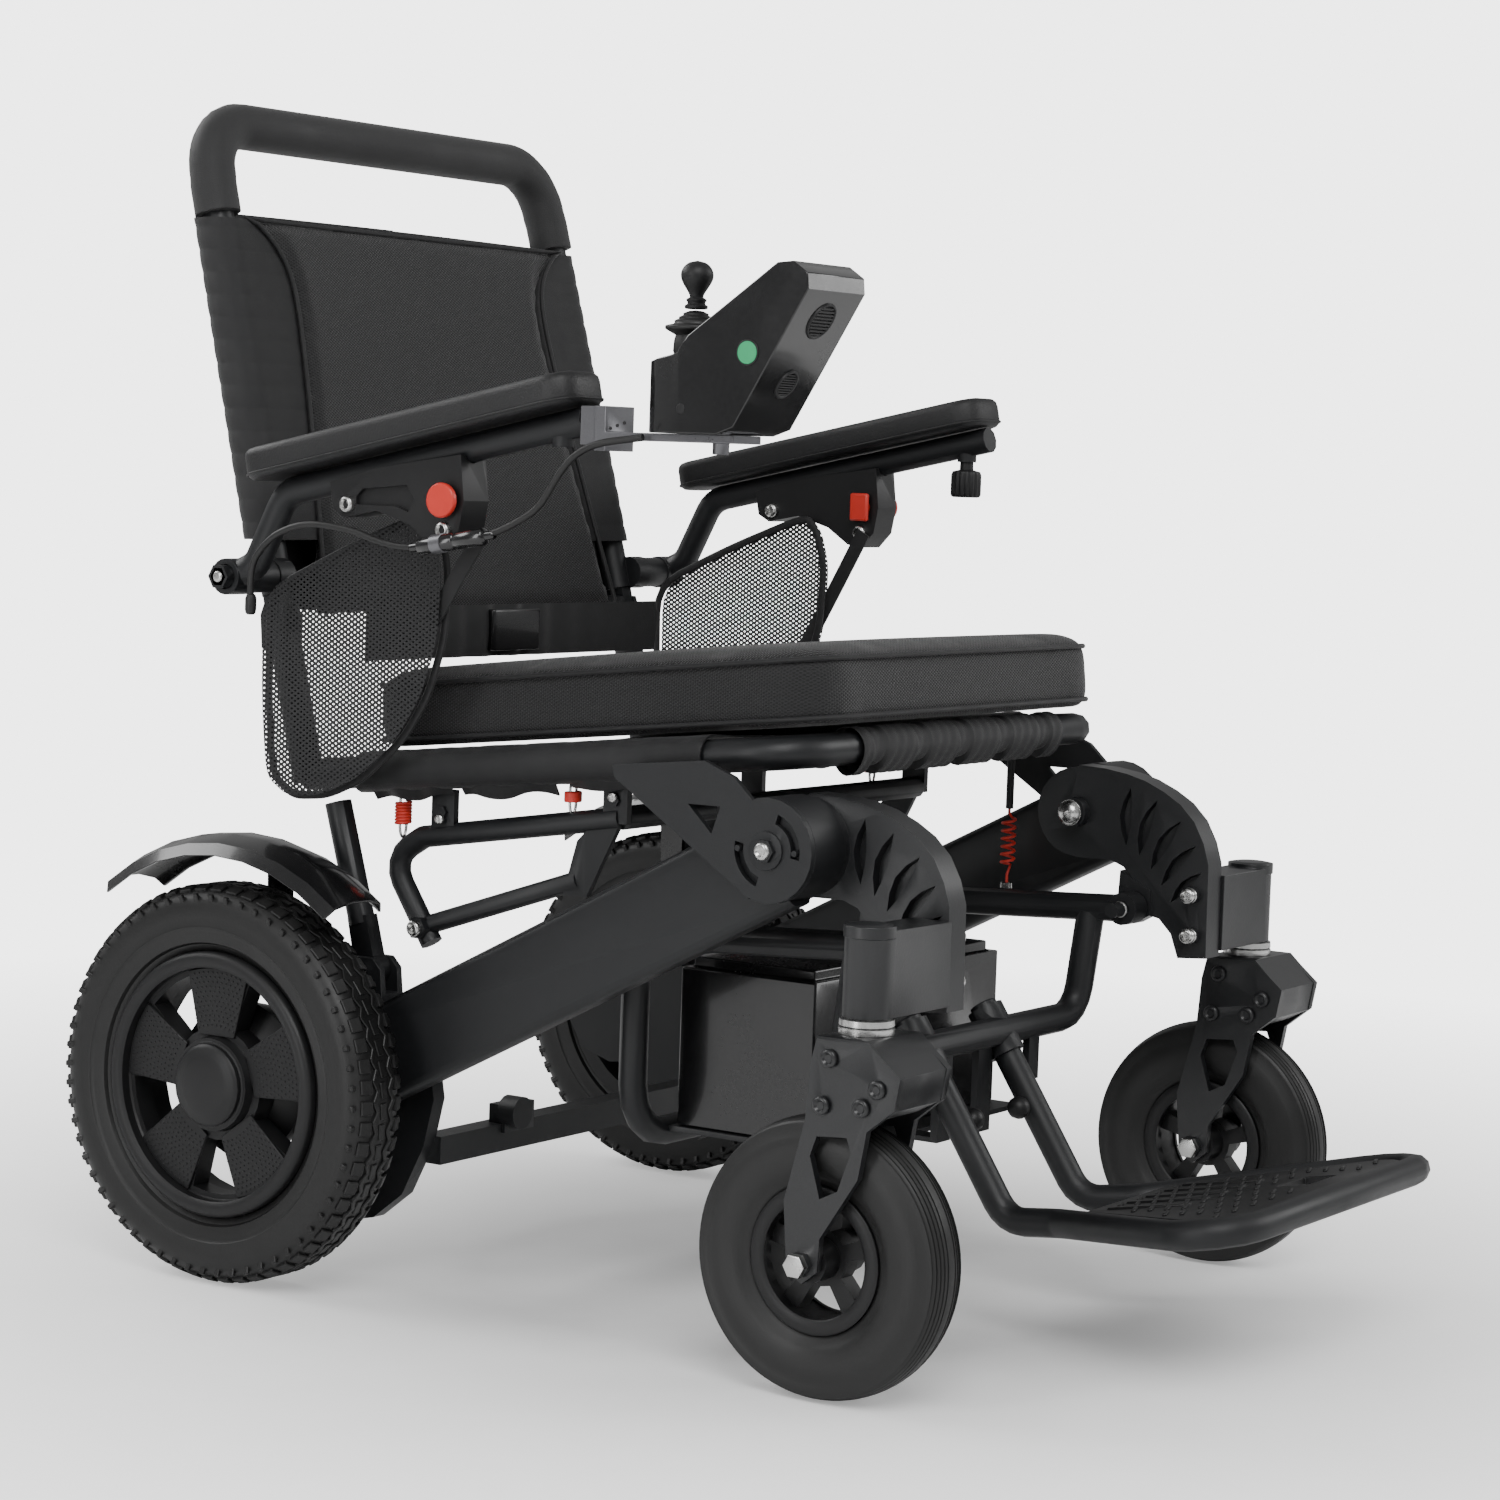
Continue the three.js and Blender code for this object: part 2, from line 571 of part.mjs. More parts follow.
const SLOT_R = 24;
function arcSlot(from, to) {
  const points = [];
  for (let i = 0; i <= 8; i += 1) {
    const a = THREE.MathUtils.degToRad(from + ((to - from) * i) / 8);
    points.push([PIVOT[0] + (SLOT_R + 3.6) * Math.cos(a), PIVOT[1] + (SLOT_R + 3.6) * Math.sin(a)]);
  }
  for (let i = 8; i >= 0; i -= 1) {
    const a = THREE.MathUtils.degToRad(from + ((to - from) * i) / 8);
    points.push([PIVOT[0] + (SLOT_R - 3.6) * Math.cos(a), PIVOT[1] + (SLOT_R - 3.6) * Math.sin(a)]);
  }
  return points;
}

function makeSidePlate() {
  const outline = [[-329, 425], [-410, 434], [-436, 424], [-452, 409], [-452, 338], [-331, 416]];
  const head = discX(...PIVOT, PIVOT_R, ...PLATE_X, 24);
  const plate = join(slabX(outline, ...PLATE_X), head);
  const triangle = slabX([[-397, 402], [-425, 402], [-418, 382]], 250, 280);
  const slots = [slabX(arcSlot(-72, 10), 250, 280), slabX(arcSlot(108, 190), 250, 280)];
  const spacer = slabX([[-336, 417], [-336, 424], [-404, 431], [-404, 422]], 241, 263);
  const bolt = join(discX(...PIVOT, 14, 266, 269, 20), discX(...PIVOT, 9, 268, 273, 6));
  return join(cut(plate, triangle, ...slots), spacer, bolt);
}

const SUB_X = 211;
function makeSubFrame() {
  const parts = [];
  for (const s of [1, -1]) {
    const x = s * SUB_X;
    const upper = [[x, -122, 268], [x, -80, 330], [x, -112, 350], [x, -300, 380]];
    parts.push(tube(upper, [20, 14], 9, { sides: 10 }));
    parts.push(rod([x, -116, 281], [x, -262, 330], 7.5, 10));
    const gusset = [[-262, 360], [-286, 384], [-300, 374], [-272, 318], [-250, 318]];
    parts.push(slabX(gusset, Math.min(x, x + s * 5), Math.max(x, x + s * 5)));
    parts.push(discX(-116, 280, 9, Math.min(x, x + s * 13), Math.max(x, x + s * 13), 6));
    for (const y of [-134, -297]) {
      const top = railZ(y) - 16.2;
      const low = y < -200 ? 376 : 350;
      parts.push(box(Math.min(x, x + s * 6), Math.max(x, x + s * 6), y - 11, y + 11, low, top));
      parts.push(discX(y, (top + low) / 2 + 2, 5, Math.min(x, x + s * 9), Math.max(x, x + s * 9), 6));
    }
  }
  parts.push(rod([-SUB_X, -300, 380], [SUB_X, -300, 380], 9, 10));
  return join(...parts);
}

function makeSpring(y, z0, z1) {
  const x = 213;
  const turns = (z1 - z0) / 3.6;
  const count = Math.round(turns * 6);
  const points = [];
  for (let i = 0; i <= count; i += 1) {
    const a = Math.PI * (i / 3);
    const z = z0 + ((z1 - z0) * i) / count;
    points.push(new THREE.Vector3(x + 4.4 * Math.cos(a), y + 4.4 * Math.sin(a), z));
  }
  const end = points[count];
  const hooks = [
    rod([x + 4.4, y, z0 + 1], [x, y, z0 - 5], 1.4, 5),
    rod([end.x, end.y, z1 - 1], [x, y, z1 + 5], 1.4, 5),
  ];
  return join(sweep(circle(0, 0, 1.4, 4), points, [1, 0, 0]), ...hooks);
}

function makeSling() {
  const a = -60;
  const b = -412;
  const parts = [];
  const bores = [];
  for (const s of [1, -1]) {
    const from = [s * RAIL_X, a, railZ(a)];
    const to = [s * RAIL_X, b + 22, railZ(b + 22)];
    parts.push(rod(from, to, SLEEVE_R, 16));
    const behind = [s * RAIL_X, a + 40, railZ(a + 40)];
    const ahead = [s * RAIL_X, b - 60, railZ(b - 60)];
    bores.push(rod(behind, ahead, SLEEVE_BORE, 16));
  }
  const sheet = slabX(
    [[a, railZ(a) + 10.5], [a, railZ(a) + 14.8], [b, railZ(b) + 14.8], [b, railZ(b) + 10.5]],
    -RAIL_X, RAIL_X,
  );
  return cut(join(...parts, sheet), ...bores);
}

function makeCushion() {
  const { halfWidth, rear, front, thick, round } = CUSHION;
  const length = rear - front;
  const outline = new THREE.Shape(
    roundRect(2 * halfWidth - 12, length - 12, round - 6, 4).map(([x, y]) => new THREE.Vector2(x, y)),
  );
  const geometry = new THREE.ExtrudeGeometry(outline, {
    depth: thick - 16, bevelEnabled: true, bevelSize: 6, bevelThickness: 8, bevelSegments: 2,
  });
  const slope = slopeOf(RAIL_REAR, RAIL_FRONT);
  const y = (rear + front) / 2;
  return toSolid(geometry).translate([0, 0, 8]).rotate([-slope, 0, 0]).translate([0, y, railZ(y) + 17.4]);
}

function makeBelt() {
  const band = slabX([[-33, 481], [-38, 481], [-38, 524], [-33, 524]], -197, 197);
  const buckle = box(-34, 34, -46, -37, 487, 522);
  return join(band, buckle);
}

// ---- backrest -----------------------------------------------------------------------------------
function backPath(from = null) {
  const [hy, hz] = BACK_HINGE;
  const low = from ?? hz + 16;
  const top = HANDLE[1];
  const side = (s) => [[s * postX(low), postY(low), low], [s * postX(top), postY(top), top]];
  const [a, b] = side(1);
  const [c, d] = side(-1);
  return [a, b, d, c];
}

function makeBackFrame() {
  const [hy, hz] = BACK_HINGE;
  const parts = [tube(backPath(), 44, RAIL_R, { side: [0, 1, 0] })];
  for (const s of [1, -1]) {
    const px = s * POST_X[0];
    const tongue = [
      [hy - 9, hz],
      [hy - 7, hz - 8],
      [hy, hz - 11],
      [hy + 7, hz - 8],
      [hy + 10, hz],
      [hy + 16, hz + 26],
      [hy - 3, hz + 26],
    ];
    parts.push(slabX(tongue.reverse(), px - 7, px + 7));
    parts.push(discX(...ARM_AXIS, 14, s > 0 ? 232 : -250, s > 0 ? 250 : -232, 20));
    parts.push(box(s > 0 ? 232 : -240, s > 0 ? 240 : -232, 12, 44, 534, 558));
  }
  const bores = [discX(hy, hz, 4.6, 200, 260, 12), discX(hy, hz, 4.6, -260, -200, 12)];
  return cut(join(...parts), ...bores);
}

function makeFoam() {
  return tube(backPath(829.5), 44, 18.5, { side: [0, 1, 0], bore: SLEEVE_BORE });
}

function makeBackSling() {
  const low = 572;
  const high = 826;
  const parts = [];
  const bores = [];
  for (const s of [1, -1]) {
    parts.push(rod([s * postX(low), postY(low), low], [s * postX(high), postY(high), high], 16.5, 16));
    const below = low - 60;
    const above = high + 40;
    const from = [s * postX(below), postY(below), below];
    bores.push(rod(from, [s * postX(above), postY(above), above], SLEEVE_BORE, 16));
  }
  // centre panel hangs a little in front of the posts
  const a = 528;
  const b = 830;
  const section = [[postY(a) - 19, a], [postY(a) - 5, a], [postY(b) - 5, b], [postY(b) - 19, b]];
  const panel = slabX(section.reverse(), -postX(700) + 10, postX(700) - 10);
  const flat = [
    [postY(high) - 15, high],
    [postY(high) - 5, high],
    [postY(low) - 5, low],
    [postY(low) - 15, low],
  ];
  const wings = slabX(flat, -postX(high), postX(high));
  return cut(join(panel, wings, ...parts), ...bores);
}

// ---- armrests -----------------------------------------------------------------------------------
function makeArmPivot() {
  const [y, z] = ARM_AXIS;
  return join(
    discX(y, z, 13, 250.3, 275.7, 20),
    discX(y, z, 9, 270, 301, 16),
    discX(y, z, 10, 300.4, 308, 6),
  );
}

function makeArmFrame() {
  const [y, z] = ARM_AXIS;
  const x = ARM_TUBE_X;
  const path = [[x, y, z], [x, -2, 556], [x, ...ARM_KNEE], [x, ...ARM_FRONT]];
  const bar = tube(path, [20, 26], ARM_TUBE_R, { side: [1, 0, 0] });
  const sleeve = discX(y, z, 14, 276, 300, 20);
  const boss = rod([x, KNOB_Y, armZ(KNOB_Y)], [x, KNOB_Y, armZ(KNOB_Y) - 15], 8, 12);
  return cut(
    join(bar, sleeve, boss),
    discX(y, z, 9.6, 200, 400, 16),
    rod([x, KNOB_Y, armZ(KNOB_Y) - 30], [x, KNOB_Y, armZ(KNOB_Y) - 5], 4.6, 10),
  );
}

function makeArmPad() {
  const x = ARM_TUBE_X;
  const outline = new THREE.Shape(roundRect(58, 314, 20, 4).map(([a, b]) => new THREE.Vector2(a, b)));
  const geometry = new THREE.ExtrudeGeometry(outline, {
    depth: 16, bevelEnabled: true, bevelSize: 2, bevelThickness: 4, bevelSegments: 2,
  });
  const slope = slopeOf(ARM_KNEE, ARM_FRONT);
  return toSolid(geometry).translate([0, 0, 4]).rotate([-slope, 0, 0]).translate([x, -161, armZ(-161) + 11.7]);
}

const BRACKET = [
  [-86, 622], [-90, 602], [-101, 596], [-132, 602], [-163, 593], [-184, 579], [-198, 577],
  [-210, 590], [-214, 612], [-210, 646], [-130, 634],
];

function makeArmBracket() {
  const x = ARM_TUBE_X;
  const body = slabX([...BRACKET].reverse(), x - 15, x + 15);
  const groove = rod([x, 0, armZ(0)], [x, -330, armZ(-330)], 11.4, 12);
  const well = discX(-198, 612, 7.6, 250, 330, 16);
  const pocketOutline = [
    [-112, 612],
    [-112, 606],
    [-150, 606],
    [-162, 602],
    [-168, 612],
    [-160, 622],
    [-118, 618],
  ];
  const pocket = slabX(pocketOutline, x + 11, x + 20);
  const bolts = [discX(-100, 605, 6, 303, 306.5, 6), discX(-197, 590, 6, 303, 306.5, 6)];
  return join(cut(body, groove, well, pocket), ...bolts);
}

function makeArmButton() {
  const shaft = discX(-198, 612, 6.6, 268, 309, 16);
  const face = discX(-198, 612, 13, 306.9, 312, 20);
  const slider = slabX([[-207, 600], [-189, 600], [-189, 624], [-207, 624]], 266, 270);
  return join(shaft, face, slider);
}

const GUARD = [
  [8, 535], [-72, 572], [-148, 602], [-160, 588], [-168, 560], [-166, 508], [-152, 464],
  [-128, 428], [-90, 396], [-55, 381], [-22, 378], [0, 392], [6, 450],
];

function makeGuard() {
  const cloth = slabX([...GUARD].reverse(), 260.3, 262.6);
  const strap = slabX([[-206, 586], [-196, 590], [-136, 482], [-150, 476]].reverse(), 262, 265);
  const tab = slabX([[-196, 596], [-206, 586], [-196, 578], [-120, 592], [-145, 604]], 261, 264.5);
  return join(cloth, strap, tab);
}

// ---- controller -----------------------------------------------------------------------------------
const CASE_X = [-325, -252];
const STICK = [-288.5, -405]; // joystick axis, x and y
function makeCase() {
  const side = [
    [-370, 704], [-372, 668], [-378, 666], [-450, 666], [-464, 671], [-522, 766], [-521, 777],
    [-509, 785], [-496, 784], [-424, 734], [-414, 722], [-372, 714],
  ];
  const body = slabX([...side].reverse(), ...CASE_X);
  // seen from above the rear end is rounded about the joystick
  const plan = [[CASE_X[0], -530], [CASE_X[1], -530], [CASE_X[1], -418]];
  for (let i = 0; i <= 8; i += 1) {
    const a = (Math.PI * i) / 8;
    plan.push([STICK[0] + 31 * Math.cos(a), STICK[1] + 31 * Math.sin(a)]);
  }
  plan.push([CASE_X[0], -418]);
  const shape = new THREE.Shape(plan.map(([x, y]) => new THREE.Vector2(x, y)));
  const geometry = new THREE.ExtrudeGeometry(shape, { depth: 200, bevelEnabled: false });
  const column = toSolid(geometry).translate([0, 0, 620]);
  const well = rod([...STICK, 707], [...STICK, 760], 19, 20);
  const pocket = rod([...STICK, 732], [...STICK, 780], 27, 20);
  return cut(body.intersect(column), well, pocket, alongPanel(-5, 5, 8.4));
}

// A cylinder square to the control panel, between two heights above it.
const PANEL_POINT = [-462, 760.4];
const PANEL_NORMAL = [0.5704, 0.8214];
function alongPanel(low, high, r) {
  const at = (h) => [-288.5, PANEL_POINT[0] + PANEL_NORMAL[0] * h, PANEL_POINT[1] + PANEL_NORMAL[1] * h];
  return rod(at(low), at(high), r, 16);
}

function makeControllerMount() {
  const shelf = box(-306, -271, -452, -338, 660, 665.7);
  const arm = box(-306, -271, -342, -332, 652, 684);
  const clamp = box(-303, -274, -334, -317.5, 656, 684);
  const knob = rod([-288.5, -430, 660], [-288.5, -430, 652], 6, 8);
  return join(shelf, arm, clamp, knob);
}

// The boot and the stick are turned about the joystick axis; both tilt about z = 726.
function turnedOnStick(rings, sides) {
  const geometry = new THREE.LatheGeometry(rings.map(([r, z]) => new THREE.Vector2(r, z)), sides);
  geometry.rotateX(Math.PI / 2);
  return toSolid(geometry).translate([...STICK, 0]);
}

function makeBoot() {
  return turnedOnStick([
    [0, 711], [8, 712.5], [13, 717], [15.5, 724], [15, 731], [14, 735], [21.5, 739.5],
    [21.5, 741.5], [15, 744], [14, 747], [10, 750], [6, 752], [0, 753],
  ], 20);
}

function makeStick() {
  return turnedOnStick([
    [0, 753.4], [8, 753.6], [9.2, 756], [9.2, 764], [11, 772], [11.6, 778], [10.5, 783],
    [7, 786], [0, 787.5],
  ], 16);
}

function makePowerButton() {
  return alongPanel(-3, 2, 8);
}

function makeLead() {
  const route = [
    [-313, -380, 662.3], [-318, -346, 657], [-318, -325, 648], [-318, -311, 634],
    [-318, -295, 612], [-318, -277, 600], [-318, -250, 589], [-318, -215, 581.5],
    [-318, -178, 576.5], [-318, -148, 579.5], [-318, -119, 587], [-318, -80, 590],
    [-316, -50, 583], [-313, -29, 570], [-311, -17, 553], [-309, -15, 520],
  ];
  const curve = new THREE.CatmullRomCurve3(route.map((p) => new THREE.Vector3(...p)));
  const points = curve.getSpacedPoints(28);
  const wire = sweep(circle(0, 0, 3, 8), points, [1, 0, 0]);
  const coupling = rod([-318, -246, 587.5], [-318, -186, 577.5], 6.5, 12);
  return join(wire, coupling);
}

function makeClampKnob() {
  const x = ARM_TUBE_X;
  const z = armZ(KNOB_Y);
  return join(
    rod([x, KNOB_Y, z - 45], [x, KNOB_Y, z - 27], 13, 12),
    rod([x, KNOB_Y, z - 30], [x, KNOB_Y, z - 7], 4, 8),
  );
}

// ---- assembly ---------------------------------------------------------------------------------------
const FRAME_SHIFT_Y = 325.5; // moves the rear axle so that the whole part is centred on the origin
const root = new THREE.Group();
root.name = "power_wheelchair";

function addPart(name, solid, look) {
  const [color, roughness, metalness] = LOOKS[look];
  const material = new THREE.MeshStandardMaterial({ color, roughness, metalness });
  const geometry = toGeometry(solid.translate([0, FRAME_SHIFT_Y, 0]));
  const mesh = new THREE.Mesh(geometry, material);
  mesh.name = name;
  root.add(mesh);
}

function addPair(name, solid, look) {
  addPart(`${name}_left`, solid, look);
  addPart(`${name}_right`, mirror(solid), look);
}

addPair("side_beam", makeBeam(), "frame");
addPart("rear_subframe", makeRearSubframe(), "frame");
addPair("fender", makeFender(), "gloss");
addPair("rear_tyre", makeRearTyre(), "rubber");
addPair("rear_wheel", makeRearWheel(), "plastic");
addPair("rear_strut", makeStrut(), "frame");
addPair("cast_arm", makeCastArm(), "cast");
addPair("caster_head", makeCasterHead(), "cast");
addPair("caster_fork", makeFork(), "cast");
addPair("caster_tyre", makeCasterTyre(), "rubber");
addPair("caster_wheel", makeCasterWheel(), "plastic");
addPart("footrest_hanger", makeHanger(), "frame");
addPart("battery", makeBattery(), "plastic");
addPart("footrest_loop", makeFootrest(), "frame");
addPart("footplate", makeFootplate(), "plastic");
addPair("footrest_knob", makeFootKnob(), "plastic");
addPart("seat_frame", makeSeatFrame(), "frame");
addPair("side_plate", makeSidePlate(), "frame");
addPart("seat_subframe", makeSubFrame(), "frame");
addPair("spring_rear", makeSpring(-92, 358, 376), "red");
addPair("spring_front", makeSpring(-255, 389, 396), "red");
addPart("seat_sling", makeSling(), "fabric");
addPart("seat_cushion", makeCushion(), "mesh");
addPart("lap_belt", makeBelt(), "fabric");
addPart("back_frame", makeBackFrame(), "frame");
addPart("handle_foam", makeFoam(), "foam");
addPart("back_sling", makeBackSling(), "mesh");
addPair("arm_pivot", makeArmPivot(), "frame");
addPair("arm_frame", makeArmFrame(), "frame");
addPair("arm_pad", makeArmPad(), "foam");
addPair("arm_bracket", makeArmBracket(), "plastic");
addPair("arm_button", makeArmButton(), "red");
addPair("side_guard", makeGuard(), "mesh");
addPart("controller_case", makeCase(), "gloss");
addPart("controller_mount", makeControllerMount(), "grey");
addPart("joystick_boot", makeBoot(), "rubber");
addPart("joystick", makeStick(), "gloss");
addPart("power_button", makePowerButton(), "plastic");
addPart("controller_lead", makeLead(), "rubber");
addPart("clamp_knob", makeClampKnob(), "plastic");

export default root;
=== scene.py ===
"""Folding power wheelchair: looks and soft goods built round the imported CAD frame.

Every length in a function's arguments is in millimetres on the chair's own axes, with y measured
from the rear axle, and P() turns such a point into metres in the row frame.
"""

import json
import math
import random

import bmesh
import bpy
from mathutils import Matrix, Vector
from mathutils.bvhtree import BVHTree


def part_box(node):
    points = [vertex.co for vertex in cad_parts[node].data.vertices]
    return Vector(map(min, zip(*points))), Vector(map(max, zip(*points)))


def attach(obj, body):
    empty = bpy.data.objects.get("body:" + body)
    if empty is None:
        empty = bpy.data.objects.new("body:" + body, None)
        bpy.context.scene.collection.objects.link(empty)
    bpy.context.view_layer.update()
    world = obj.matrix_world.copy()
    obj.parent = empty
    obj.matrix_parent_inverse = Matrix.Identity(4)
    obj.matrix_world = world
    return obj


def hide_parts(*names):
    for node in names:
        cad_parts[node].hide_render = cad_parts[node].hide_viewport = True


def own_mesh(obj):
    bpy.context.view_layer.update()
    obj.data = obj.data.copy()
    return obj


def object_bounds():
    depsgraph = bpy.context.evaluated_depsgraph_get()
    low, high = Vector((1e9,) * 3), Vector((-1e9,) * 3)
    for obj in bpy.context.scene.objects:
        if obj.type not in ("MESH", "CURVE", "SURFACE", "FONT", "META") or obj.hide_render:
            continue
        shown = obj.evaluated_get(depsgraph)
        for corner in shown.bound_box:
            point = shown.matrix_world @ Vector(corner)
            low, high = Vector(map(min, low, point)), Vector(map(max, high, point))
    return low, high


bl_info = {
    "name": "Folding Power Wheelchair",
    "version": (1, 0, 0),
    "blender": (4, 5, 0),
    "location": "3D View > Sidebar > Wheelchair",
    "description": "Finishes, tyres, upholstery and fittings for a folding power wheelchair",
    "category": "Add Mesh",
}

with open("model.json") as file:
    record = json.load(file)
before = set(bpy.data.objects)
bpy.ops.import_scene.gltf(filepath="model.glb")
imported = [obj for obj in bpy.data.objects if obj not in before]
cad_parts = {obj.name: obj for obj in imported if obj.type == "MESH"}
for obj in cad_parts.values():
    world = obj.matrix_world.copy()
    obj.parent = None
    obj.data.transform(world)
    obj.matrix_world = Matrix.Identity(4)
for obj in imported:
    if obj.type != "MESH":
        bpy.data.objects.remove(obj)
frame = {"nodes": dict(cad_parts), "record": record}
CAD_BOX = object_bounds()
NODES = frame["nodes"]
MM = 0.001
SIDES = (("left", 1), ("right", -1))


def middle(node):
    low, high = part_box(node)
    return (low + high) / 2


AXLE_Y = middle("rear_tyre_left").y
TYRE_X = middle("rear_tyre_left").x / MM
TYRE_R = middle("rear_tyre_left").z / MM
CASTER_X = middle("caster_tyre_left").x / MM
CASTER_Y = (middle("caster_tyre_left").y - AXLE_Y) / MM
CASTER_R = middle("caster_tyre_left").z / MM
BODY_OF = {n: body for body, members in frame["record"]["behaviour"]["bodies"].items() for n in members}


def P(x, y, z):
    return Vector((x * MM, AXLE_Y + y * MM, z * MM))


# ---- settings -----------------------------------------------------------------------------------
def length(name, description, default):
    return bpy.props.FloatProperty(
        name=name, description=description, default=default, min=0.0, unit="LENGTH", precision=4
    )


def colour(name, description, default):
    return bpy.props.FloatVectorProperty(
        name=name, description=description, default=default, size=3, subtype="COLOR", min=0, max=1
    )


class WheelchairSizes(bpy.types.PropertyGroup):
    edge: length("Edge round", "Radius worn onto metal edges", 0.0009)
    mesh_pitch: length("Air mesh pitch", "Distance between rows of the air mesh", 0.0042)
    net_pitch: length("Net pitch", "Distance between holes of the side nets", 0.0064)
    piping: length("Piping", "Radius of the upholstery piping", 0.0021)
    rib: length("Rib spacing", "Height of one stitched rib beside the backrest", 0.0178)
    puff: length("Cushion swell", "Most that the cushion swells from its cut shape", 0.006)
    lugs: bpy.props.IntProperty(
        name="Tread lugs", description="Lugs round each drive tyre", default=60, min=12
    )


class WheelchairColours(bpy.types.PropertyGroup):
    powder: colour("Powder coat", "Frame tubes and plates", (0.0085, 0.009, 0.010))
    cast: colour("Cast arms", "Cast front arms and forks", (0.0085, 0.009, 0.010))
    gloss: colour("Gloss plastic", "Mudguards and controller", (0.0045, 0.0045, 0.005))
    matte: colour("Matte plastic", "Wheels, knobs and housings", (0.0065, 0.0065, 0.007))
    rubber: colour("Tyre rubber", "Tyres", (0.0065, 0.0065, 0.0065))
    foam: colour("Grip foam", "Push handle", (0.0085, 0.0085, 0.009))
    skin: colour("Armrest skin", "Armrest pads", (0.006, 0.006, 0.0065))
    yarn: colour("Mesh yarn", "Seat and backrest mesh", (0.0075, 0.0075, 0.008))
    nylon: colour("Nylon", "Straps, sling and binding", (0.0045, 0.0045, 0.005))
    red: colour("Red", "Release buttons and springs", (0.62, 0.035, 0.022))
    steel: colour("Bright steel", "Bolts and nuts", (0.62, 0.62, 0.61))


# ---- shader groups --------------------------------------------------------------------------------
class Graph:
    """Short names for building a node tree."""

    def __init__(self, tree):
        self.tree = tree

    def node(self, kind, **settings):
        made = self.tree.nodes.new(kind)
        inputs = settings.pop("inputs", {})
        for key, value in settings.items():
            setattr(made, key, value)
        for key, value in inputs.items():
            if isinstance(value, bpy.types.NodeSocket):
                self.tree.links.new(value, made.inputs[key])
            else:
                made.inputs[key].default_value = value
        return made

    def math(self, operation, a, b=None, c=None):
        made = self.node("ShaderNodeMath", operation=operation)
        for i, value in enumerate((a, b, c)):
            if isinstance(value, bpy.types.NodeSocket):
                self.tree.links.new(value, made.inputs[i])
            elif value is not None:
                made.inputs[i].default_value = value
        return made.outputs[0]

    def mix(self, factor, a, b):
        made = self.node("ShaderNodeMix", data_type="RGBA")
        for index, value in ((0, factor), (6, a), (7, b)):
            if isinstance(value, bpy.types.NodeSocket):
                self.tree.links.new(value, made.inputs[index])
            elif value is not None:
                made.inputs[index].default_value = value
        return made.outputs[2]

    def ramp(self, value, low, high):
        made = self.node("ShaderNodeMapRange", inputs={"Value": value, "From Min": low, "From Max": high})
        return made.outputs["Result"]


def new_group(name, inputs, outputs):
    tree = bpy.data.node_groups.new(name, "ShaderNodeTree")
    for label, kind, default in inputs:
        socket = tree.interface.new_socket(label, in_out="INPUT", socket_type=kind)
        socket.default_value = default
    for label, kind in outputs:
        tree.interface.new_socket(label, in_out="OUTPUT", socket_type=kind)
    graph = Graph(tree)
    return graph, graph.node("NodeGroupInput"), graph.node("NodeGroupOutput")


FLOAT = "NodeSocketFloat"
COLOR = "NodeSocketColor"
VECTOR = "NodeSocketVector"
GREY = (0.02, 0.02, 0.02, 1)


def grain_group():
    """Fine surface grain: speckled colour, patchy pale grey on upward faces, uneven roughness and a small
    bump.
    """
    g, given, out = new_group(
        "Surface grain",
        [("Base", COLOR, GREY), ("Scale", FLOAT, 900.0), ("Contrast", FLOAT, 0.25),
         ("Roughness", FLOAT, 0.5), ("Depth", FLOAT, 0.2), ("Upward grey", FLOAT, 0.1)],
        [("Color", COLOR), ("Roughness", FLOAT), ("Normal", VECTOR)],
    )
    place = g.node("ShaderNodeTexCoord").outputs["Object"]
    fine = g.node(
        "ShaderNodeTexNoise", inputs={"Vector": place, "Scale": given.outputs["Scale"], "Detail": 2.0}
    ).outputs["Fac"]
    broad = g.node(
        "ShaderNodeTexNoise", inputs={"Vector": place, "Scale": 14.0, "Detail": 5.0}
    ).outputs["Fac"]
    speck = g.ramp(fine, 0.35, 0.75)
    lighter = g.node(
        "ShaderNodeHueSaturation", inputs={"Color": given.outputs["Base"], "Value": 2.2}
    ).outputs["Color"]
    speckled = g.mix(g.math("MULTIPLY", speck, given.outputs["Contrast"]), given.outputs["Base"], lighter)
    # Upward-facing faces are mixed toward a pale grey in broad noise patches, by the sixth input's amount.
    upward = g.node("ShaderNodeSeparateXYZ", inputs={0: g.node("ShaderNodeNewGeometry").outputs["Normal"]})
    lying = g.ramp(upward.outputs["Z"], 0.2, 1.0)
    upward_grey_amount = g.math("MULTIPLY", g.math("MULTIPLY", lying, g.ramp(broad, 0.4, 0.8)), given.outputs["Upward grey"])
    g.tree.links.new(g.mix(upward_grey_amount, speckled, (0.16, 0.155, 0.15, 1)), out.inputs["Color"])
    uneven = g.math("MULTIPLY_ADD", g.ramp(broad, 0.3, 0.7), 0.14, -0.07)
    rough = g.math("ADD", given.outputs["Roughness"], g.math("MULTIPLY_ADD", fine, 0.12, uneven))
    g.tree.links.new(rough, out.inputs["Roughness"])
    bump = g.node(
        "ShaderNodeBump",
        inputs={"Height": fine, "Strength": given.outputs["Depth"], "Distance": 0.0004},
    )
    g.tree.links.new(bump.outputs["Normal"], out.inputs["Normal"])
    return g.tree


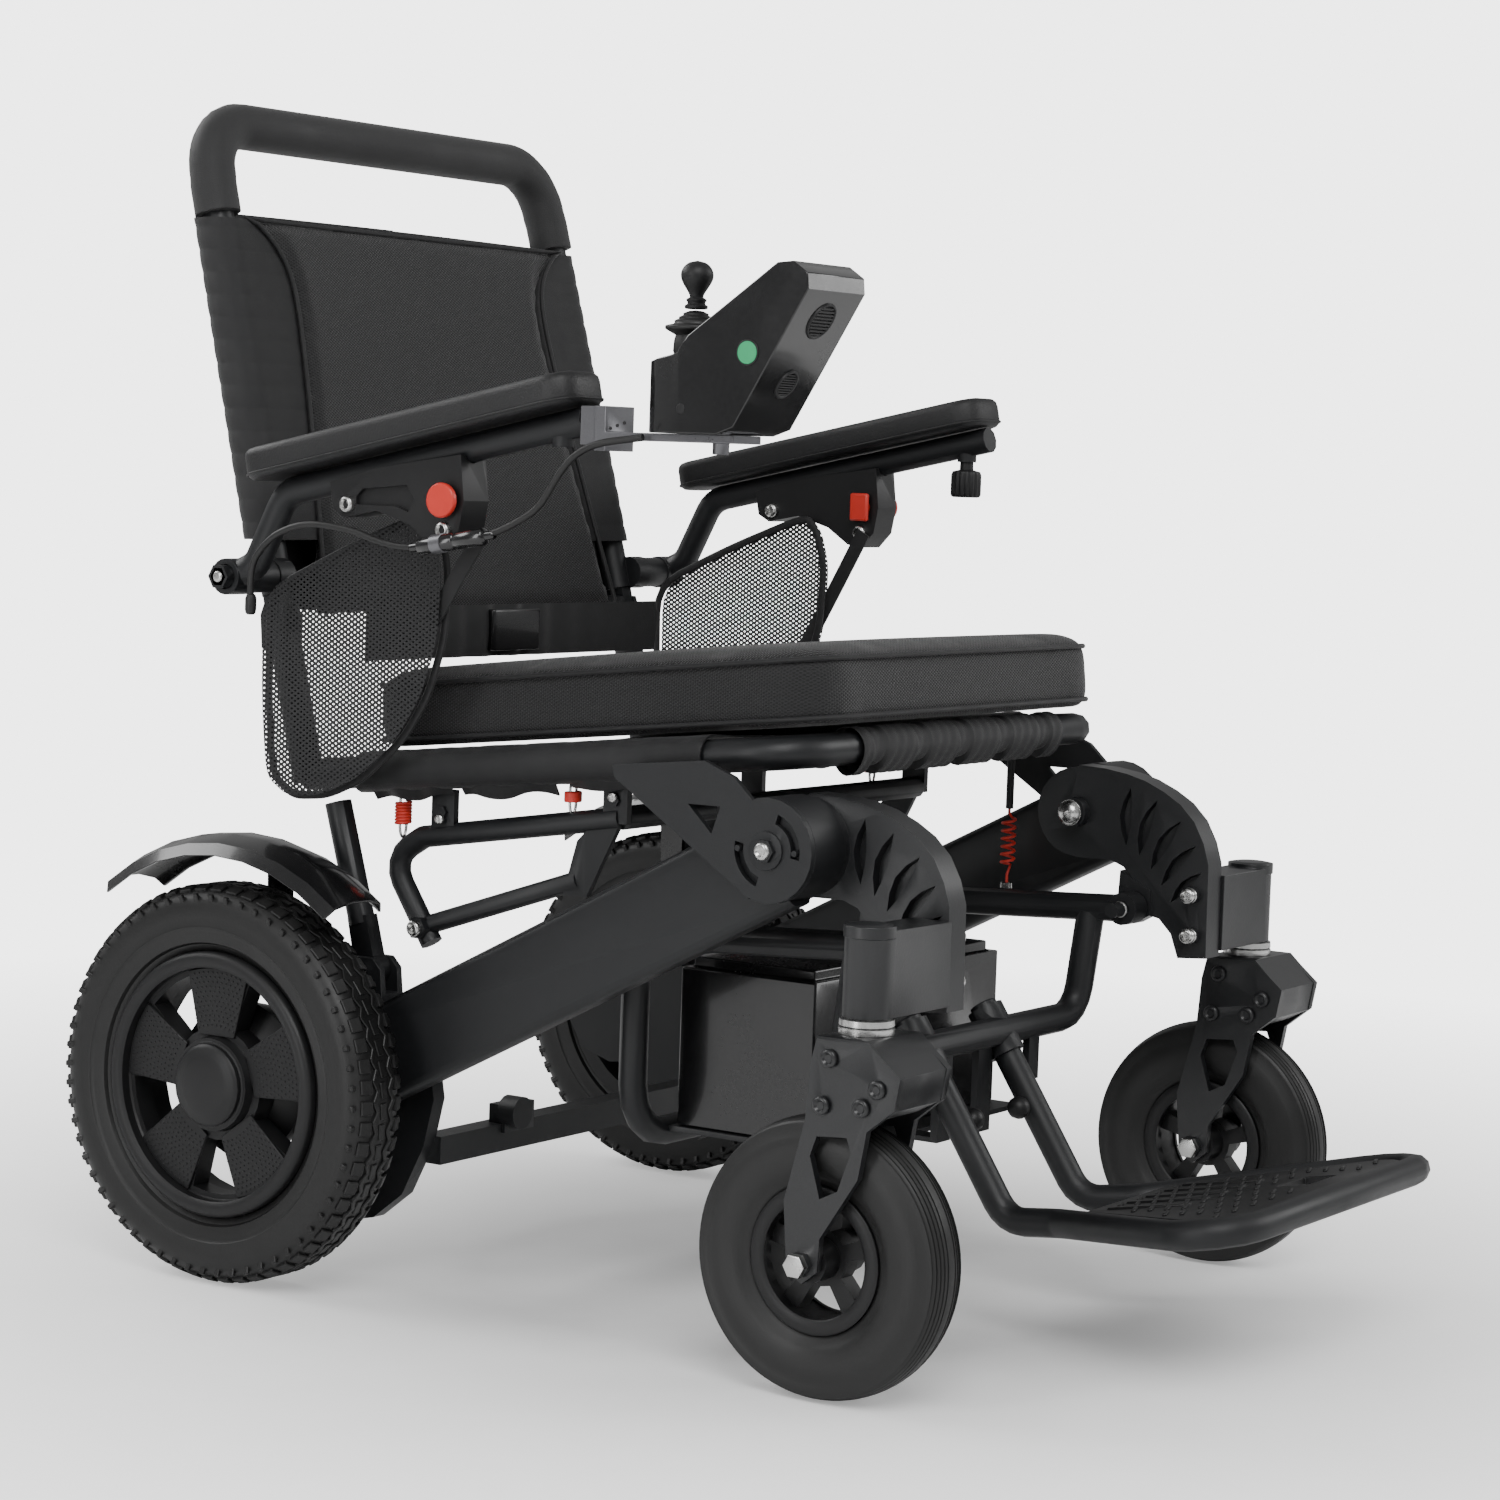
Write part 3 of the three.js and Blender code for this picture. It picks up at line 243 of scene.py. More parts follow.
def flat_place(g):
    """Two coordinates that follow the surface: across and along whatever way it faces."""
    place = g.node("ShaderNodeSeparateXYZ", inputs={0: g.node("ShaderNodeTexCoord").outputs["Object"]})
    facing = g.node("ShaderNodeSeparateXYZ", inputs={0: g.node("ShaderNodeNewGeometry").outputs["Normal"]})
    sideways = g.math("GREATER_THAN", g.math("ABSOLUTE", facing.outputs["X"]), 0.7)
    upward = g.math("GREATER_THAN", g.math("ABSOLUTE", facing.outputs["Z"]), 0.7)
    x, y, z = place.outputs
    across = g.math(
        "ADD", g.math("MULTIPLY", y, sideways), g.math("MULTIPLY", x, g.math("SUBTRACT", 1.0, sideways))
    )
    along = g.math(
        "ADD", g.math("MULTIPLY", y, upward), g.math("MULTIPLY", z, g.math("SUBTRACT", 1.0, upward))
    )
    return across, along


def mesh_group():
    """Air mesh: staggered round holes between knitted yarns, with painted shade in the holes."""
    g, given, out = new_group(
        "Air mesh",
        [("Yarn", COLOR, GREY), ("Hole shade", COLOR, (0.003, 0.003, 0.003, 1)), ("Pitch", FLOAT, 0.004),
         ("Open", FLOAT, 0.35), ("Depth", FLOAT, 0.6)],
        [("Color", COLOR), ("Roughness", FLOAT), ("Solid", FLOAT), ("Normal", VECTOR)],
    )
    across, along = flat_place(g)
    turn = g.math("DIVIDE", math.pi, given.outputs["Pitch"])
    wave_a = g.math("SINE", g.math("MULTIPLY", g.math("MULTIPLY_ADD", along, 1.6, across), turn))
    wave_b = g.math("SINE", g.math("MULTIPLY", g.math("MULTIPLY_ADD", along, -1.6, across), turn))
    bulge = g.math("MULTIPLY", g.math("ABSOLUTE", wave_a), g.math("ABSOLUTE", wave_b))
    hole = g.ramp(bulge, given.outputs["Open"], 0.75)
    solid = g.math("SUBTRACT", 1.0, hole)
    fuzz = g.node(
        "ShaderNodeTexNoise",
        inputs={"Vector": g.node("ShaderNodeTexCoord").outputs["Object"], "Scale": 1500.0, "Detail": 2.0},
    ).outputs["Fac"]
    light = g.node(
        "ShaderNodeHueSaturation", inputs={"Color": given.outputs["Yarn"], "Value": 2.6}
    ).outputs["Color"]
    yarn = g.mix(g.math("MULTIPLY", fuzz, solid), given.outputs["Yarn"], light)
    # Where the pattern opens, the colour is the darker hole colour: painted shade inside the mesh holes.
    g.tree.links.new(g.mix(hole, yarn, given.outputs["Hole shade"]), out.inputs["Color"])
    g.tree.links.new(g.math("MULTIPLY_ADD", fuzz, 0.25, 0.62), out.inputs["Roughness"])
    g.tree.links.new(solid, out.inputs["Solid"])
    height = g.math("MULTIPLY_ADD", fuzz, 0.25, solid)
    bump = g.node(
        "ShaderNodeBump", inputs={"Height": height, "Strength": given.outputs["Depth"], "Distance": 0.0012}
    )
    g.tree.links.new(bump.outputs["Normal"], out.inputs["Normal"])
    return g.tree


def webbing_group():
    """Tightly woven nylon with a fine diagonal twill."""
    g, given, out = new_group(
        "Nylon twill",
        [("Base", COLOR, GREY), ("Pitch", FLOAT, 0.0013), ("Depth", FLOAT, 0.35)],
        [("Color", COLOR), ("Roughness", FLOAT), ("Normal", VECTOR)],
    )
    across, along = flat_place(g)
    turn = g.math("DIVIDE", 2 * math.pi, given.outputs["Pitch"])
    rows = g.math("SINE", g.math("MULTIPLY", g.math("ADD", across, along), turn))
    columns = g.math("SINE", g.math("MULTIPLY", g.math("SUBTRACT", across, along), turn))
    weave = g.math("MULTIPLY_ADD", g.math("MULTIPLY", rows, columns), 0.5, 0.5)
    crease = g.node(
        "ShaderNodeTexNoise",
        inputs={"Vector": g.node("ShaderNodeTexCoord").outputs["Object"], "Scale": 38.0, "Detail": 4.0},
    ).outputs["Fac"]
    light = g.node(
        "ShaderNodeHueSaturation", inputs={"Color": given.outputs["Base"], "Value": 2.4}
    ).outputs["Color"]
    shade = g.mix(g.math("MULTIPLY", weave, crease), given.outputs["Base"], light)
    g.tree.links.new(shade, out.inputs["Color"])
    g.tree.links.new(g.math("MULTIPLY_ADD", crease, 0.3, 0.42), out.inputs["Roughness"])
    height = g.math("MULTIPLY_ADD", crease, 2.0, weave)
    bump = g.node(
        "ShaderNodeBump", inputs={"Height": height, "Strength": given.outputs["Depth"], "Distance": 0.0008}
    )
    g.tree.links.new(bump.outputs["Normal"], out.inputs["Normal"])
    return g.tree


GROUPS = {}
FINISHES = {}


def finish_material(name, group, given, shader, see_through=False):
    """A Principled material fed by one of the shader groups; plain values sit on its own sockets."""
    if name in FINISHES:
        return FINISHES[name]
    made = bpy.data.materials.new(name)
    made.use_nodes = True
    g = Graph(made.node_tree)
    principled = made.node_tree.nodes["Principled BSDF"]
    for key, value in shader.items():
        principled.inputs[key].default_value = value
    if group not in GROUPS:
        GROUPS[group] = {"grain": grain_group, "mesh": mesh_group, "twill": webbing_group}[group]()
    pattern = g.node("ShaderNodeGroup", node_tree=GROUPS[group])
    for key, value in given.items():
        pattern.inputs[key].default_value = value
    g.tree.links.new(pattern.outputs["Color"], principled.inputs["Base Color"])
    g.tree.links.new(pattern.outputs["Roughness"], principled.inputs["Roughness"])
    g.tree.links.new(pattern.outputs["Normal"], principled.inputs["Normal"])
    if see_through:
        g.tree.links.new(g.math("GREATER_THAN", pattern.outputs["Solid"], 0.5), principled.inputs["Alpha"])
    FINISHES[name] = made
    return made


def rgba(value):
    return (*value, 1.0)


def finish(name):
    """The material of one finish, by the record's slot name."""
    c = bpy.context.scene.wheelchair_colours
    sizes = bpy.context.scene.wheelchair_sizes
    # Columns: base colour, grain scale, speck contrast, roughness, bump depth, pale grey on upward faces,
    # shader values.
    grains = {
        "powder_coat": (c.powder, 1500.0, 0.35, 0.40, 0.22, 0.05, {"Specular IOR Level": 0.42}),
        "cast_black": (c.cast, 700.0, 0.3, 0.36, 0.25, 0.05, {"Coat Weight": 0.25, "Coat Roughness": 0.25}),
        "gloss_black": (c.gloss, 300.0, 0.1, 0.16, 0.02, 0.05, {"Coat Weight": 0.5, "Coat Roughness": 0.08}),
        "matte_black": (c.matte, 1100.0, 0.3, 0.42, 0.2, 0.06, {"Specular IOR Level": 0.4}),
        "tyre_rubber": (c.rubber, 420.0, 0.25, 0.4, 0.22, 0.08, {"Specular IOR Level": 0.45}),
        "soft_rubber": (c.rubber, 500.0, 0.2, 0.42, 0.15, 0.05, {}),
        "foam_grip": (c.foam, 900.0, 0.5, 0.62, 0.5, 0.06, {"Sheen Weight": 0.12}),
        "pad_skin": (c.skin, 640.0, 0.6, 0.48, 0.8, 0.04, {}),
        "red_paint": (c.red, 400.0, 0.05, 0.4, 0.1, 0.02, {}),
        "red_plastic": (c.red, 200.0, 0.03, 0.32, 0.04, 0.02, {}),
        "bright_steel": (c.steel, 800.0, 0.05, 0.2, 0.1, 0.02, {"Metallic": 1.0}),
        "silver_paint": ((0.16, 0.16, 0.17), 900.0, 0.1, 0.3, 0.1, 0.02, {"Metallic": 0.7}),
        "green_dot": ((0.02, 0.36, 0.14), 400.0, 0.05, 0.35, 0.02, 0.02, {}),
        "floor_paper": ((0.93, 0.93, 0.93), 40.0, 0.02, 0.55, 0.03, 0.0, {}),
        "plate_grey": ((0.36, 0.42, 0.40), 260.0, 0.1, 0.25, 0.02, 0.05, {}),
    }
    if name in grains:
        base, scale, contrast, rough, depth, upward_grey, shader = grains[name]
        given = {"Base": rgba(base), "Scale": scale, "Contrast": contrast, "Roughness": rough}
        given.update({"Depth": depth, "Upward grey": upward_grey})
        return finish_material(name, "grain", given, shader)
    if name == "air_mesh":
        given = {"Yarn": rgba(c.yarn), "Pitch": sizes.mesh_pitch, "Open": 0.3}
        return finish_material(name, "mesh", given, {"Sheen Weight": 0.2, "Sheen Roughness": 0.4})
    if name == "net":
        given = {"Yarn": rgba(c.yarn), "Pitch": sizes.net_pitch, "Open": 0.64}
        return finish_material(name, "mesh", given, {}, see_through=True)
    given = {"Base": rgba(c.nylon)}
    return finish_material("nylon", "twill", given, {"Sheen Weight": 0.15, "Sheen Roughness": 0.3})


# ---- modelling helpers ------------------------------------------------------------------------------
def add_piece(name, bm, look, body, replaces=(), sharp=40.0):
    """Turns a bmesh into a finished piece riding on a body."""
    bmesh.ops.recalc_face_normals(bm, faces=bm.faces)
    made = bpy.data.meshes.new(name)
    bm.to_mesh(made)
    bm.free()
    made.polygons.foreach_set("use_smooth", [True] * len(made.polygons))
    made.set_sharp_from_angle(angle=math.radians(sharp))
    made.materials.append(finish(look))
    piece = bpy.data.objects.new(name, made)
    bpy.context.scene.collection.objects.link(piece)
    if body:
        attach(piece, body)
    if replaces:
        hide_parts(*replaces)
    return piece


def add_bevel(piece, width, angle=50.0, segments=2):
    bevel = piece.modifiers.new("Edge", "BEVEL")
    bevel.width = width
    bevel.segments = segments
    bevel.limit_method = "ANGLE"
    bevel.angle_limit = math.radians(angle)
    return bevel


def smooth_copy(node, look, edge=None, sharp=40.0):
    """A CAD node's own shape with merged points, smooth curves and softly rounded edges."""
    bm = bmesh.new()
    bm.from_mesh(NODES[node].data)
    bmesh.ops.remove_doubles(bm, verts=bm.verts, dist=2e-6)
    bmesh.ops.dissolve_limit(
        bm, angle_limit=math.radians(0.4), verts=bm.verts, edges=bm.edges, delimit=set()
    )
    piece = add_piece(f"{node}_body", bm, look, BODY_OF[node], [node], sharp)
    add_bevel(piece, bpy.context.scene.wheelchair_sizes.edge if edge is None else edge, sharp + 5)
    return piece


def lathe(bm, profile, axis_point, steps=64, axis="X"):
    """Turns a list of (radius, place along the axis) about a line through axis_point, in mm."""
    base = {"X": Vector((1, 0, 0)), "Y": Vector((0, 1, 0)), "Z": Vector((0, 0, 1))}[axis]
    out = Vector((0, 0, 1)) if axis != "Z" else Vector((1, 0, 0))
    origin = P(*axis_point)
    verts = [bm.verts.new(origin + out * (r * MM) + base * (a * MM)) for r, a in profile]
    edges = [bm.edges.new(pair) for pair in zip(verts, verts[1:])]
    bmesh.ops.spin(
        bm, geom=verts + edges, cent=origin, axis=base, dvec=(0, 0, 0), angle=2 * math.pi,
        steps=steps, use_merge=True, use_duplicate=False,
    )
    bmesh.ops.remove_doubles(bm, verts=bm.verts, dist=1e-6)


def stamp(bm, pattern, matrix):
    """Adds a copy of a small mesh to a bmesh."""
    placed = pattern.copy()
    placed.transform(matrix)
    bm.from_mesh(placed)
    bpy.data.meshes.remove(placed)


def block_pattern(name, size, edge):
    """A bevelled block, centred on the origin, sizes in mm."""
    bm = bmesh.new()
    bmesh.ops.create_cube(bm, size=1.0, matrix=Matrix.Diagonal((*[s * MM for s in size], 1)))
    bmesh.ops.bevel(
        bm, geom=bm.edges[:], offset=edge * MM, segments=1, profile=0.5, affect="EDGES", material=-1
    )
    made = bpy.data.meshes.new(name)
    bm.to_mesh(made)
    bm.free()
    return made


def tube_bmesh(points, radius, closed=False, resolution=5, order=None):
    """A round tube of radius metres along row-frame points, made from a bevelled curve."""
    line = bpy.data.curves.new("line", "CURVE")
    line.dimensions = "3D"
    line.bevel_depth = radius
    line.bevel_resolution = resolution
    line.use_fill_caps = not closed
    spline = line.splines.new("NURBS" if order else "POLY")
    spline.points.add(len(points) - 1)
    for point, place in zip(spline.points, points):
        point.co = (*place, 1.0)
    spline.use_cyclic_u = closed
    if order:
        spline.order_u = order
        spline.use_endpoint_u = not closed
        spline.resolution_u = 6
    holder = bpy.data.objects.new("line", line)
    bpy.context.scene.collection.objects.link(holder)
    graph = bpy.context.evaluated_depsgraph_get()
    made = bpy.data.meshes.new_from_object(holder.evaluated_get(graph))
    bm = bmesh.new()
    bm.from_mesh(made)
    bmesh.ops.remove_doubles(bm, verts=bm.verts, dist=1e-6)
    bpy.data.objects.remove(holder)
    bpy.data.curves.remove(line)
    bpy.data.meshes.remove(made)
    return bm


def turned(direction):
    """Rotation that takes +Z to a direction."""
    return Vector((0, 0, 1)).rotation_difference(Vector(direction)).to_matrix().to_4x4()


def bolt_pattern(name, radius, height, sides=24, socket=True, dome=0.35):
    """A screw head standing on the origin along +Z, with a round socket sunk in its top when socket is set;
    sizes in mm.
    """
    bm = bmesh.new()
    bmesh.ops.create_circle(bm, cap_ends=True, segments=sides, radius=radius * MM)
    lift = bmesh.ops.extrude_face_region(bm, geom=bm.faces[:])
    top = [v for v in lift["geom"] if isinstance(v, bmesh.types.BMVert)]
    bmesh.ops.translate(bm, verts=top, vec=(0, 0, height * MM))
    cap = max(bm.faces, key=lambda f: f.calc_center_median().z)
    bmesh.ops.bevel(
        bm, geom=cap.edges[:], offset=radius * dome * MM, segments=3, profile=0.5,
        affect="EDGES", material=-1,
    )
    if socket:
        cap = max(bm.faces, key=lambda f: (round(f.calc_center_median().z, 6), f.calc_area()))
        bmesh.ops.inset_region(bm, faces=[cap], thickness=radius * 0.22 * MM)
        bmesh.ops.translate(bm, verts=cap.verts[:], vec=(0, 0, -0.55 * height * MM))
    made = bpy.data.meshes.new(name)
    bm.to_mesh(made)
    bm.free()
    return made


class Builder:
    """Base of the operators: they all finish in one step."""

    bl_options = {"REGISTER", "UNDO"}

    def execute(self, context):
        self.build(context.scene.wheelchair_sizes)
        return {"FINISHED"}


# ---- metalwork and other CAD shapes -----------------------------------------------------------------
SMOOTH_NODES = {
    "powder_coat": [
        "side_beam", "rear_subframe", "rear_strut", "footrest_hanger", "footrest_loop", "seat_frame",
        "side_plate", "seat_subframe", "back_frame", "arm_pivot", "arm_frame",
    ],
    "cast_black": ["cast_arm", "caster_head", "caster_fork"],
    "gloss_black": ["fender", "battery"],
    "matte_black": ["rear_wheel", "caster_wheel", "arm_bracket", "footrest_knob", "power_button"],
    "red_plastic": ["arm_button"],
    "silver_paint": ["controller_mount"],
}
EDGES = {"arm_button": 0.0025, "arm_bracket": 0.0016, "battery": 0.004, "footrest_knob": 0.0002}


class WHEELCHAIR_OT_metalwork(Builder, bpy.types.Operator):
    """Smooth, edge-rounded versions of the frame, castings and mouldings"""

    bl_idname = "wheelchair.metalwork"
    bl_label = "Metalwork"

    def build(self, sizes):
        for look, names in SMOOTH_NODES.items():
            for name in names:
                whole = [name] if name in NODES else [f"{name}_{side}" for side, _ in SIDES]
                for node in whole:
                    smooth_copy(node, look, EDGES.get(name))


# ---- tyres and wheels ---------------------------------------------------------------------------------
def ring_of(bm, pattern, count, radius, x, centre_y, centre_z, start=0.0, lean=0.0):
    """Stamps a pattern round a wheel; the pattern's z points outward and its y along the tread."""
    for k in range(count):
        angle = 2 * math.pi * (k + start) / count
        turn = Matrix.Rotation(angle, 4, "X")
        place = Matrix.Translation(P(x, centre_y, centre_z))
        out = Matrix.Translation((0, 0, radius * MM))
        stamp(bm, pattern, place @ turn @ out @ Matrix.Rotation(lean, 4, "Z"))


def mirrored(profile, centre):
    """A section given for its outer half, made whole about x = centre."""
    half = [(r, centre + x) for r, x in profile]
    other = [(r, centre - x) for r, x in reversed(profile)]
    return half + other


class WHEELCHAIR_OT_drive_tyres(Builder, bpy.types.Operator):
    """Drive tyres with shoulder lugs and zigzag ribs"""

    bl_idname = "wheelchair.drive_tyres"
    bl_label = "Drive tyres"

    def build(self, sizes):
        half = [
            (103.5, 18.5), (106.0, 20.5), (108.5, 21.6), (110.0, 24.4), (113.0, 25.4), (118.0, 26.3),
            (121.0, 26.9), (122.2, 27.9), (124.0, 27.6), (130.0, 28.2), (136.0, 28.2), (141.0, 27.2),
            (145.0, 25.4), (148.6, 22.2), (151.2, 17.5), (152.6, 11.0), (153.2, 4.0),
        ]
        shoulder = block_pattern("shoulder_lug", (9.5, 11.0, 4.6), 0.7)
        bar = block_pattern("side_bar", (3.4, 4.2, 9.5), 0.6)
        zig = block_pattern("zigzag_rib", (3.8, 10.6, 3.6), 0.6)
        rib = block_pattern("centre_rib", (6.5, 12.5, 3.4), 0.6)
        for side, s in SIDES:
            bm = bmesh.new()
            lathe(bm, mirrored(half, 0), (s * TYRE_X, 0, TYRE_R), 96)
            count = sizes.lugs
            for edge in (1, -1):
                for k in range(count):
                    angle = 2 * math.pi * k / count
                    turn = Matrix.Rotation(angle, 4, "X")
                    tip = Matrix.Rotation(edge * 0.42, 4, "Y")
                    out = Matrix.Translation((edge * 17.4 * MM, 0, 151.0 * MM))
                    centre = Matrix.Translation(P(s * TYRE_X, 0, TYRE_R))
                    stamp(bm, shoulder, centre @ turn @ out @ tip)
                    low = Matrix.Translation((edge * 25.6 * MM, 0, 143.2 * MM))
                    stamp(bm, bar, centre @ turn @ low @ Matrix.Rotation(edge * 0.38, 4, "Y"))
                for flip in (0, 1):
                    lean = (0.5 if flip else -0.5) * edge
                    start = 0.5 * flip
                    ring_of(bm, zig, count, 152.9, s * TYRE_X + edge * 8.6, 0, TYRE_R, start, lean)
            ring_of(bm, rib, count // 2 * 2, 152.6, s * TYRE_X, 0, TYRE_R, 0.25, 0.12)
            node = f"rear_tyre_{side}"
            add_piece(f"drive_tyre_{side}", bm, "tyre_rubber", BODY_OF[node], [node], 35)


class WHEELCHAIR_OT_caster_tyres(Builder, bpy.types.Operator):
    """Caster tyres with fine running grooves"""

    bl_idname = "wheelchair.caster_tyres"
    bl_label = "Caster tyres"

    def build(self, sizes):
        half = [
            (52.6, 17.0), (55.0, 19.0), (57.5, 19.4), (60.0, 21.6), (66.0, 23.6), (74.0, 24.8), (81.0, 24.7),
            (87.0, 22.9), (91.0, 20.4),
        ]
        for groove in (18.6, 15.4, 12.0, 8.4, 4.6):
            r = math.sqrt(max(0.0, 1 - (groove / 30.0) ** 2)) * 21.0 + 79.0
            half += [
                (r, groove + 0.9), (r - 1.3, groove + 0.5), (r - 1.3, groove - 0.5), (r + 0.05, groove - 0.9)
            ]
        half.append((100.0, 2.0))
        for side, s in SIDES:
            bm = bmesh.new()
            lathe(bm, mirrored(half, 0), (s * CASTER_X, CASTER_Y, CASTER_R), 96)
            name = f"caster_tyre_{side}"
            add_piece(f"caster_tread_{side}", bm, "soft_rubber", BODY_OF[name], [name], 35)


def wedge(bm, r0, r1, half0, half1, middle_angle, x0, x1, centre):
    """A raised wedge panel on a wheel face between radii r0 and r1; half widths in degrees."""
    corners = []
    steps = 6
    for k in range(steps + 1):
        corners.append((r1, middle_angle + half1 * (2 * k / steps - 1)))
    corners += [(r0, middle_angle + half0), (r0, middle_angle - half0)]
    verts = []
    for r, degrees in corners:
        a = math.radians(degrees)
        verts.append(bm.verts.new(P(x0, centre[0] + r * math.cos(a), centre[1] + r * math.sin(a))))
    face = bm.faces.new(verts)
    lift = bmesh.ops.extrude_face_region(bm, geom=[face])
    top = [v for v in lift["geom"] if isinstance(v, bmesh.types.BMVert)]
    bmesh.ops.translate(bm, verts=top, vec=((x1 - x0) * MM, 0, 0))


class WHEELCHAIR_OT_wheel_faces(Builder, bpy.types.Operator):
    """Raised, dotted spoke panels on the drive wheels and collars on the casters"""

    bl_idname = "wheelchair.wheel_faces"
    bl_label = "Wheel faces"

    def build(self, sizes):
        stud = bmesh.new()
        bmesh.ops.create_icosphere(stud, subdivisions=1, radius=1.15 * MM)
        pattern = bpy.data.meshes.new("stud")
        stud.to_mesh(pattern)
        stud.free()
        for side, s in SIDES:
            body = BODY_OF[f"rear_wheel_{side}"]
            panels = bmesh.new()
            studs = bmesh.new()
            for k in range(5):
                angle = 90 + 72 * k
                wedge(panels, 41, 90, 26, 19.5, angle, s * 318.0, s * 320.6, (0, TYRE_R))
                for row in range(12):
                    r = 45.5 + row * 3.7
                    half = math.radians(23.0 - 0.52 * row)
                    across = int(2 * half * r / 4.4)
                    for j in range(across + 1):
                        t = (j + 0.5 * (row % 2)) / max(1, across) * 2 - 1
                        if abs(t) > 1:
                            continue
                        a = math.radians(angle) + half * t
                        spot = P(s * 320.6, r * math.cos(a), TYRE_R + r * math.sin(a))
                        stamp(studs, pattern, Matrix.Translation(spot) @ Matrix.Diagonal((0.7, 1, 1, 1)))
            piece = add_piece(f"spoke_panels_{side}", panels, "matte_black", body)
            add_bevel(piece, 0.0008)
            add_piece(f"spoke_studs_{side}", studs, "matte_black", body)
            ring = bmesh.new()
            outer = [
                (90.5, 320), (90.5, 327.4), (93, 329.6), (98, 330.2), (101.5, 328.6), (103, 326), (103, 320),
                (90.5, 320),
            ]
            lathe(ring, [(r, s * x) for r, x in outer], (0, 0, TYRE_R), 96)
            add_piece(f"rim_lip_{side}", ring, "matte_black", body)
            hub = bmesh.new()
            dome = [
                (0, 334.2), (10, 334.0), (20, 333.2), (27, 331.8), (30.4, 329.6), (31.6, 326.5),
                (33.4, 326.2), (34.6, 324.8), (34.8, 318),
            ]
            lathe(hub, [(r, s * x) for r, x in dome], (0, 0, TYRE_R), 64)
            add_piece(f"hub_cap_{side}", hub, "matte_black", body)
            collar = bmesh.new()
            for rim in (1, -1):
                flange = [
                    (41.5, 15.6), (41.5, 18.8), (43.2, 20.2), (50.5, 20.6), (52.4, 19.2), (52.4, 15.6),
                    (41.5, 15.6),
                ]
                lathe(collar, [(r, rim * a) for r, a in flange], (s * CASTER_X, CASTER_Y, CASTER_R), 72)
            add_piece(f"caster_rims_{side}", collar, "matte_black", BODY_OF[f"caster_wheel_{side}"])


# ---- bolts ---------------------------------------------------------------------------------------------
class WHEELCHAIR_OT_fasteners(Builder, bpy.types.Operator):
    """Bright bolts and nuts, black socket screws and the caster stem rings"""

    bl_idname = "wheelchair.fasteners"
    bl_label = "Fasteners"

    def build(self, sizes):
        bright = {}
        black = {}
        cap = bolt_pattern("cap_screw", 6.2, 5.0)
        small = bolt_pattern("small_screw", 4.0, 2.6)
        button = bolt_pattern("button_screw", 6.6, 2.6)
        nut = bolt_pattern("hex_nut", 8.8, 6.0, sides=6, socket=False, dome=0.12)
        stud = bolt_pattern("stud_end", 4.6, 9.5, socket=False, dome=0.4)
        dome = bolt_pattern("domed_nut", 10.5, 7.0, socket=False, dome=0.8)

        def put(store, body, pattern, x, y, z, outward):
            bm = store.setdefault(body, bmesh.new())
            stamp(bm, pattern, Matrix.Translation(P(x, y, z)) @ turned((outward, 0, 0)))

        for side, s in SIDES:
            arm, fork = BODY_OF[f"cast_arm_{side}"], BODY_OF[f"caster_fork_{side}"]
            link, pad = BODY_OF[f"arm_pivot_{side}"], BODY_OF[f"arm_frame_{side}"]
            put(bright, "seat", button, s * 272.9, -466, 374, s)
            for y, z in ((-574, 316), (-575, 284)):
                put(bright, arm, button, s * 183.1, y, z, -s)
                put(bright, arm, cap, s * 181.5, y, z, -s)
            put(bright, arm, button, s * 164.9, -522, 301.5, -s)
            put(bright, "hanger", button, s * 187.2, -522, 301.5, s)
            put(bright, arm, dome, s * 176.9, -466, 374, -s)
            for x, outward in ((335.1, s), (255.9, -s)):
                put(bright, fork, nut, s * x, CASTER_Y, CASTER_R, outward)
            put(bright, fork, stud, s * 330.0, CASTER_Y, CASTER_R, s)
            for y, z in ((-565, 245), (-604, 228), (-560, 212), (-592, 214)):
                put(black, fork, button, s * 331.5, y, z, s)
                put(black, fork, button, s * 259.5, y, z, -s)
            put(bright, link, nut, s * 302.0, 20, 546, s)
            put(bright, link, stud, s * 300.0, 20, 546, s)
            for y, z in ((-105, 606), (-197, 590)):
                put(bright, pad, cap, s * 303.6, y, z, s)
                put(bright, pad, cap, s * 273.4, y, z, -s)
            put(bright, "seat", cap, s * 224.2, -116, 280, s)
            put(bright, "rear_frame", cap, s * 258.1, -90, 248, s)
            for y in (-134, -297):
                z = 366 if y > -200 else 396
                put(bright, "seat", small, s * 220.2, y, z, s)
        for body, bm in bright.items():
            add_piece(f"bright_bolts_{body}", bm, "bright_steel", body, sharp=35)
        for body, bm in black.items():
            add_piece(f"black_screws_{body}", bm, "cast_black", body, sharp=35)
        for side, s in SIDES:
            ring = bmesh.new()
            section = [
                (10.2, 258.2), (18.0, 258.2), (19.4, 259.4), (19.6, 263.5), (18.4, 264.4), (19.4, 265.4),
                (19.2, 269.4), (17.6, 270.3), (10.2, 270.3),
            ]
            lathe(ring, section, (s * CASTER_X, -572, 0), 48, "Z")
            add_piece(f"stem_ring_{side}", ring, "bright_steel", BODY_OF[f"caster_fork_{side}"])
            cap_bm = bmesh.new()
            section = [(0, 335.6), (12, 335.6), (15.6, 335.0), (17.2, 333.6), (17.4, 331.0), (0, 331.0)]
            lathe(cap_bm, section, (s * CASTER_X, -572, 0), 48, "Z")
            add_piece(f"head_cap_{side}", cap_bm, "cast_black", BODY_OF[f"caster_head_{side}"])


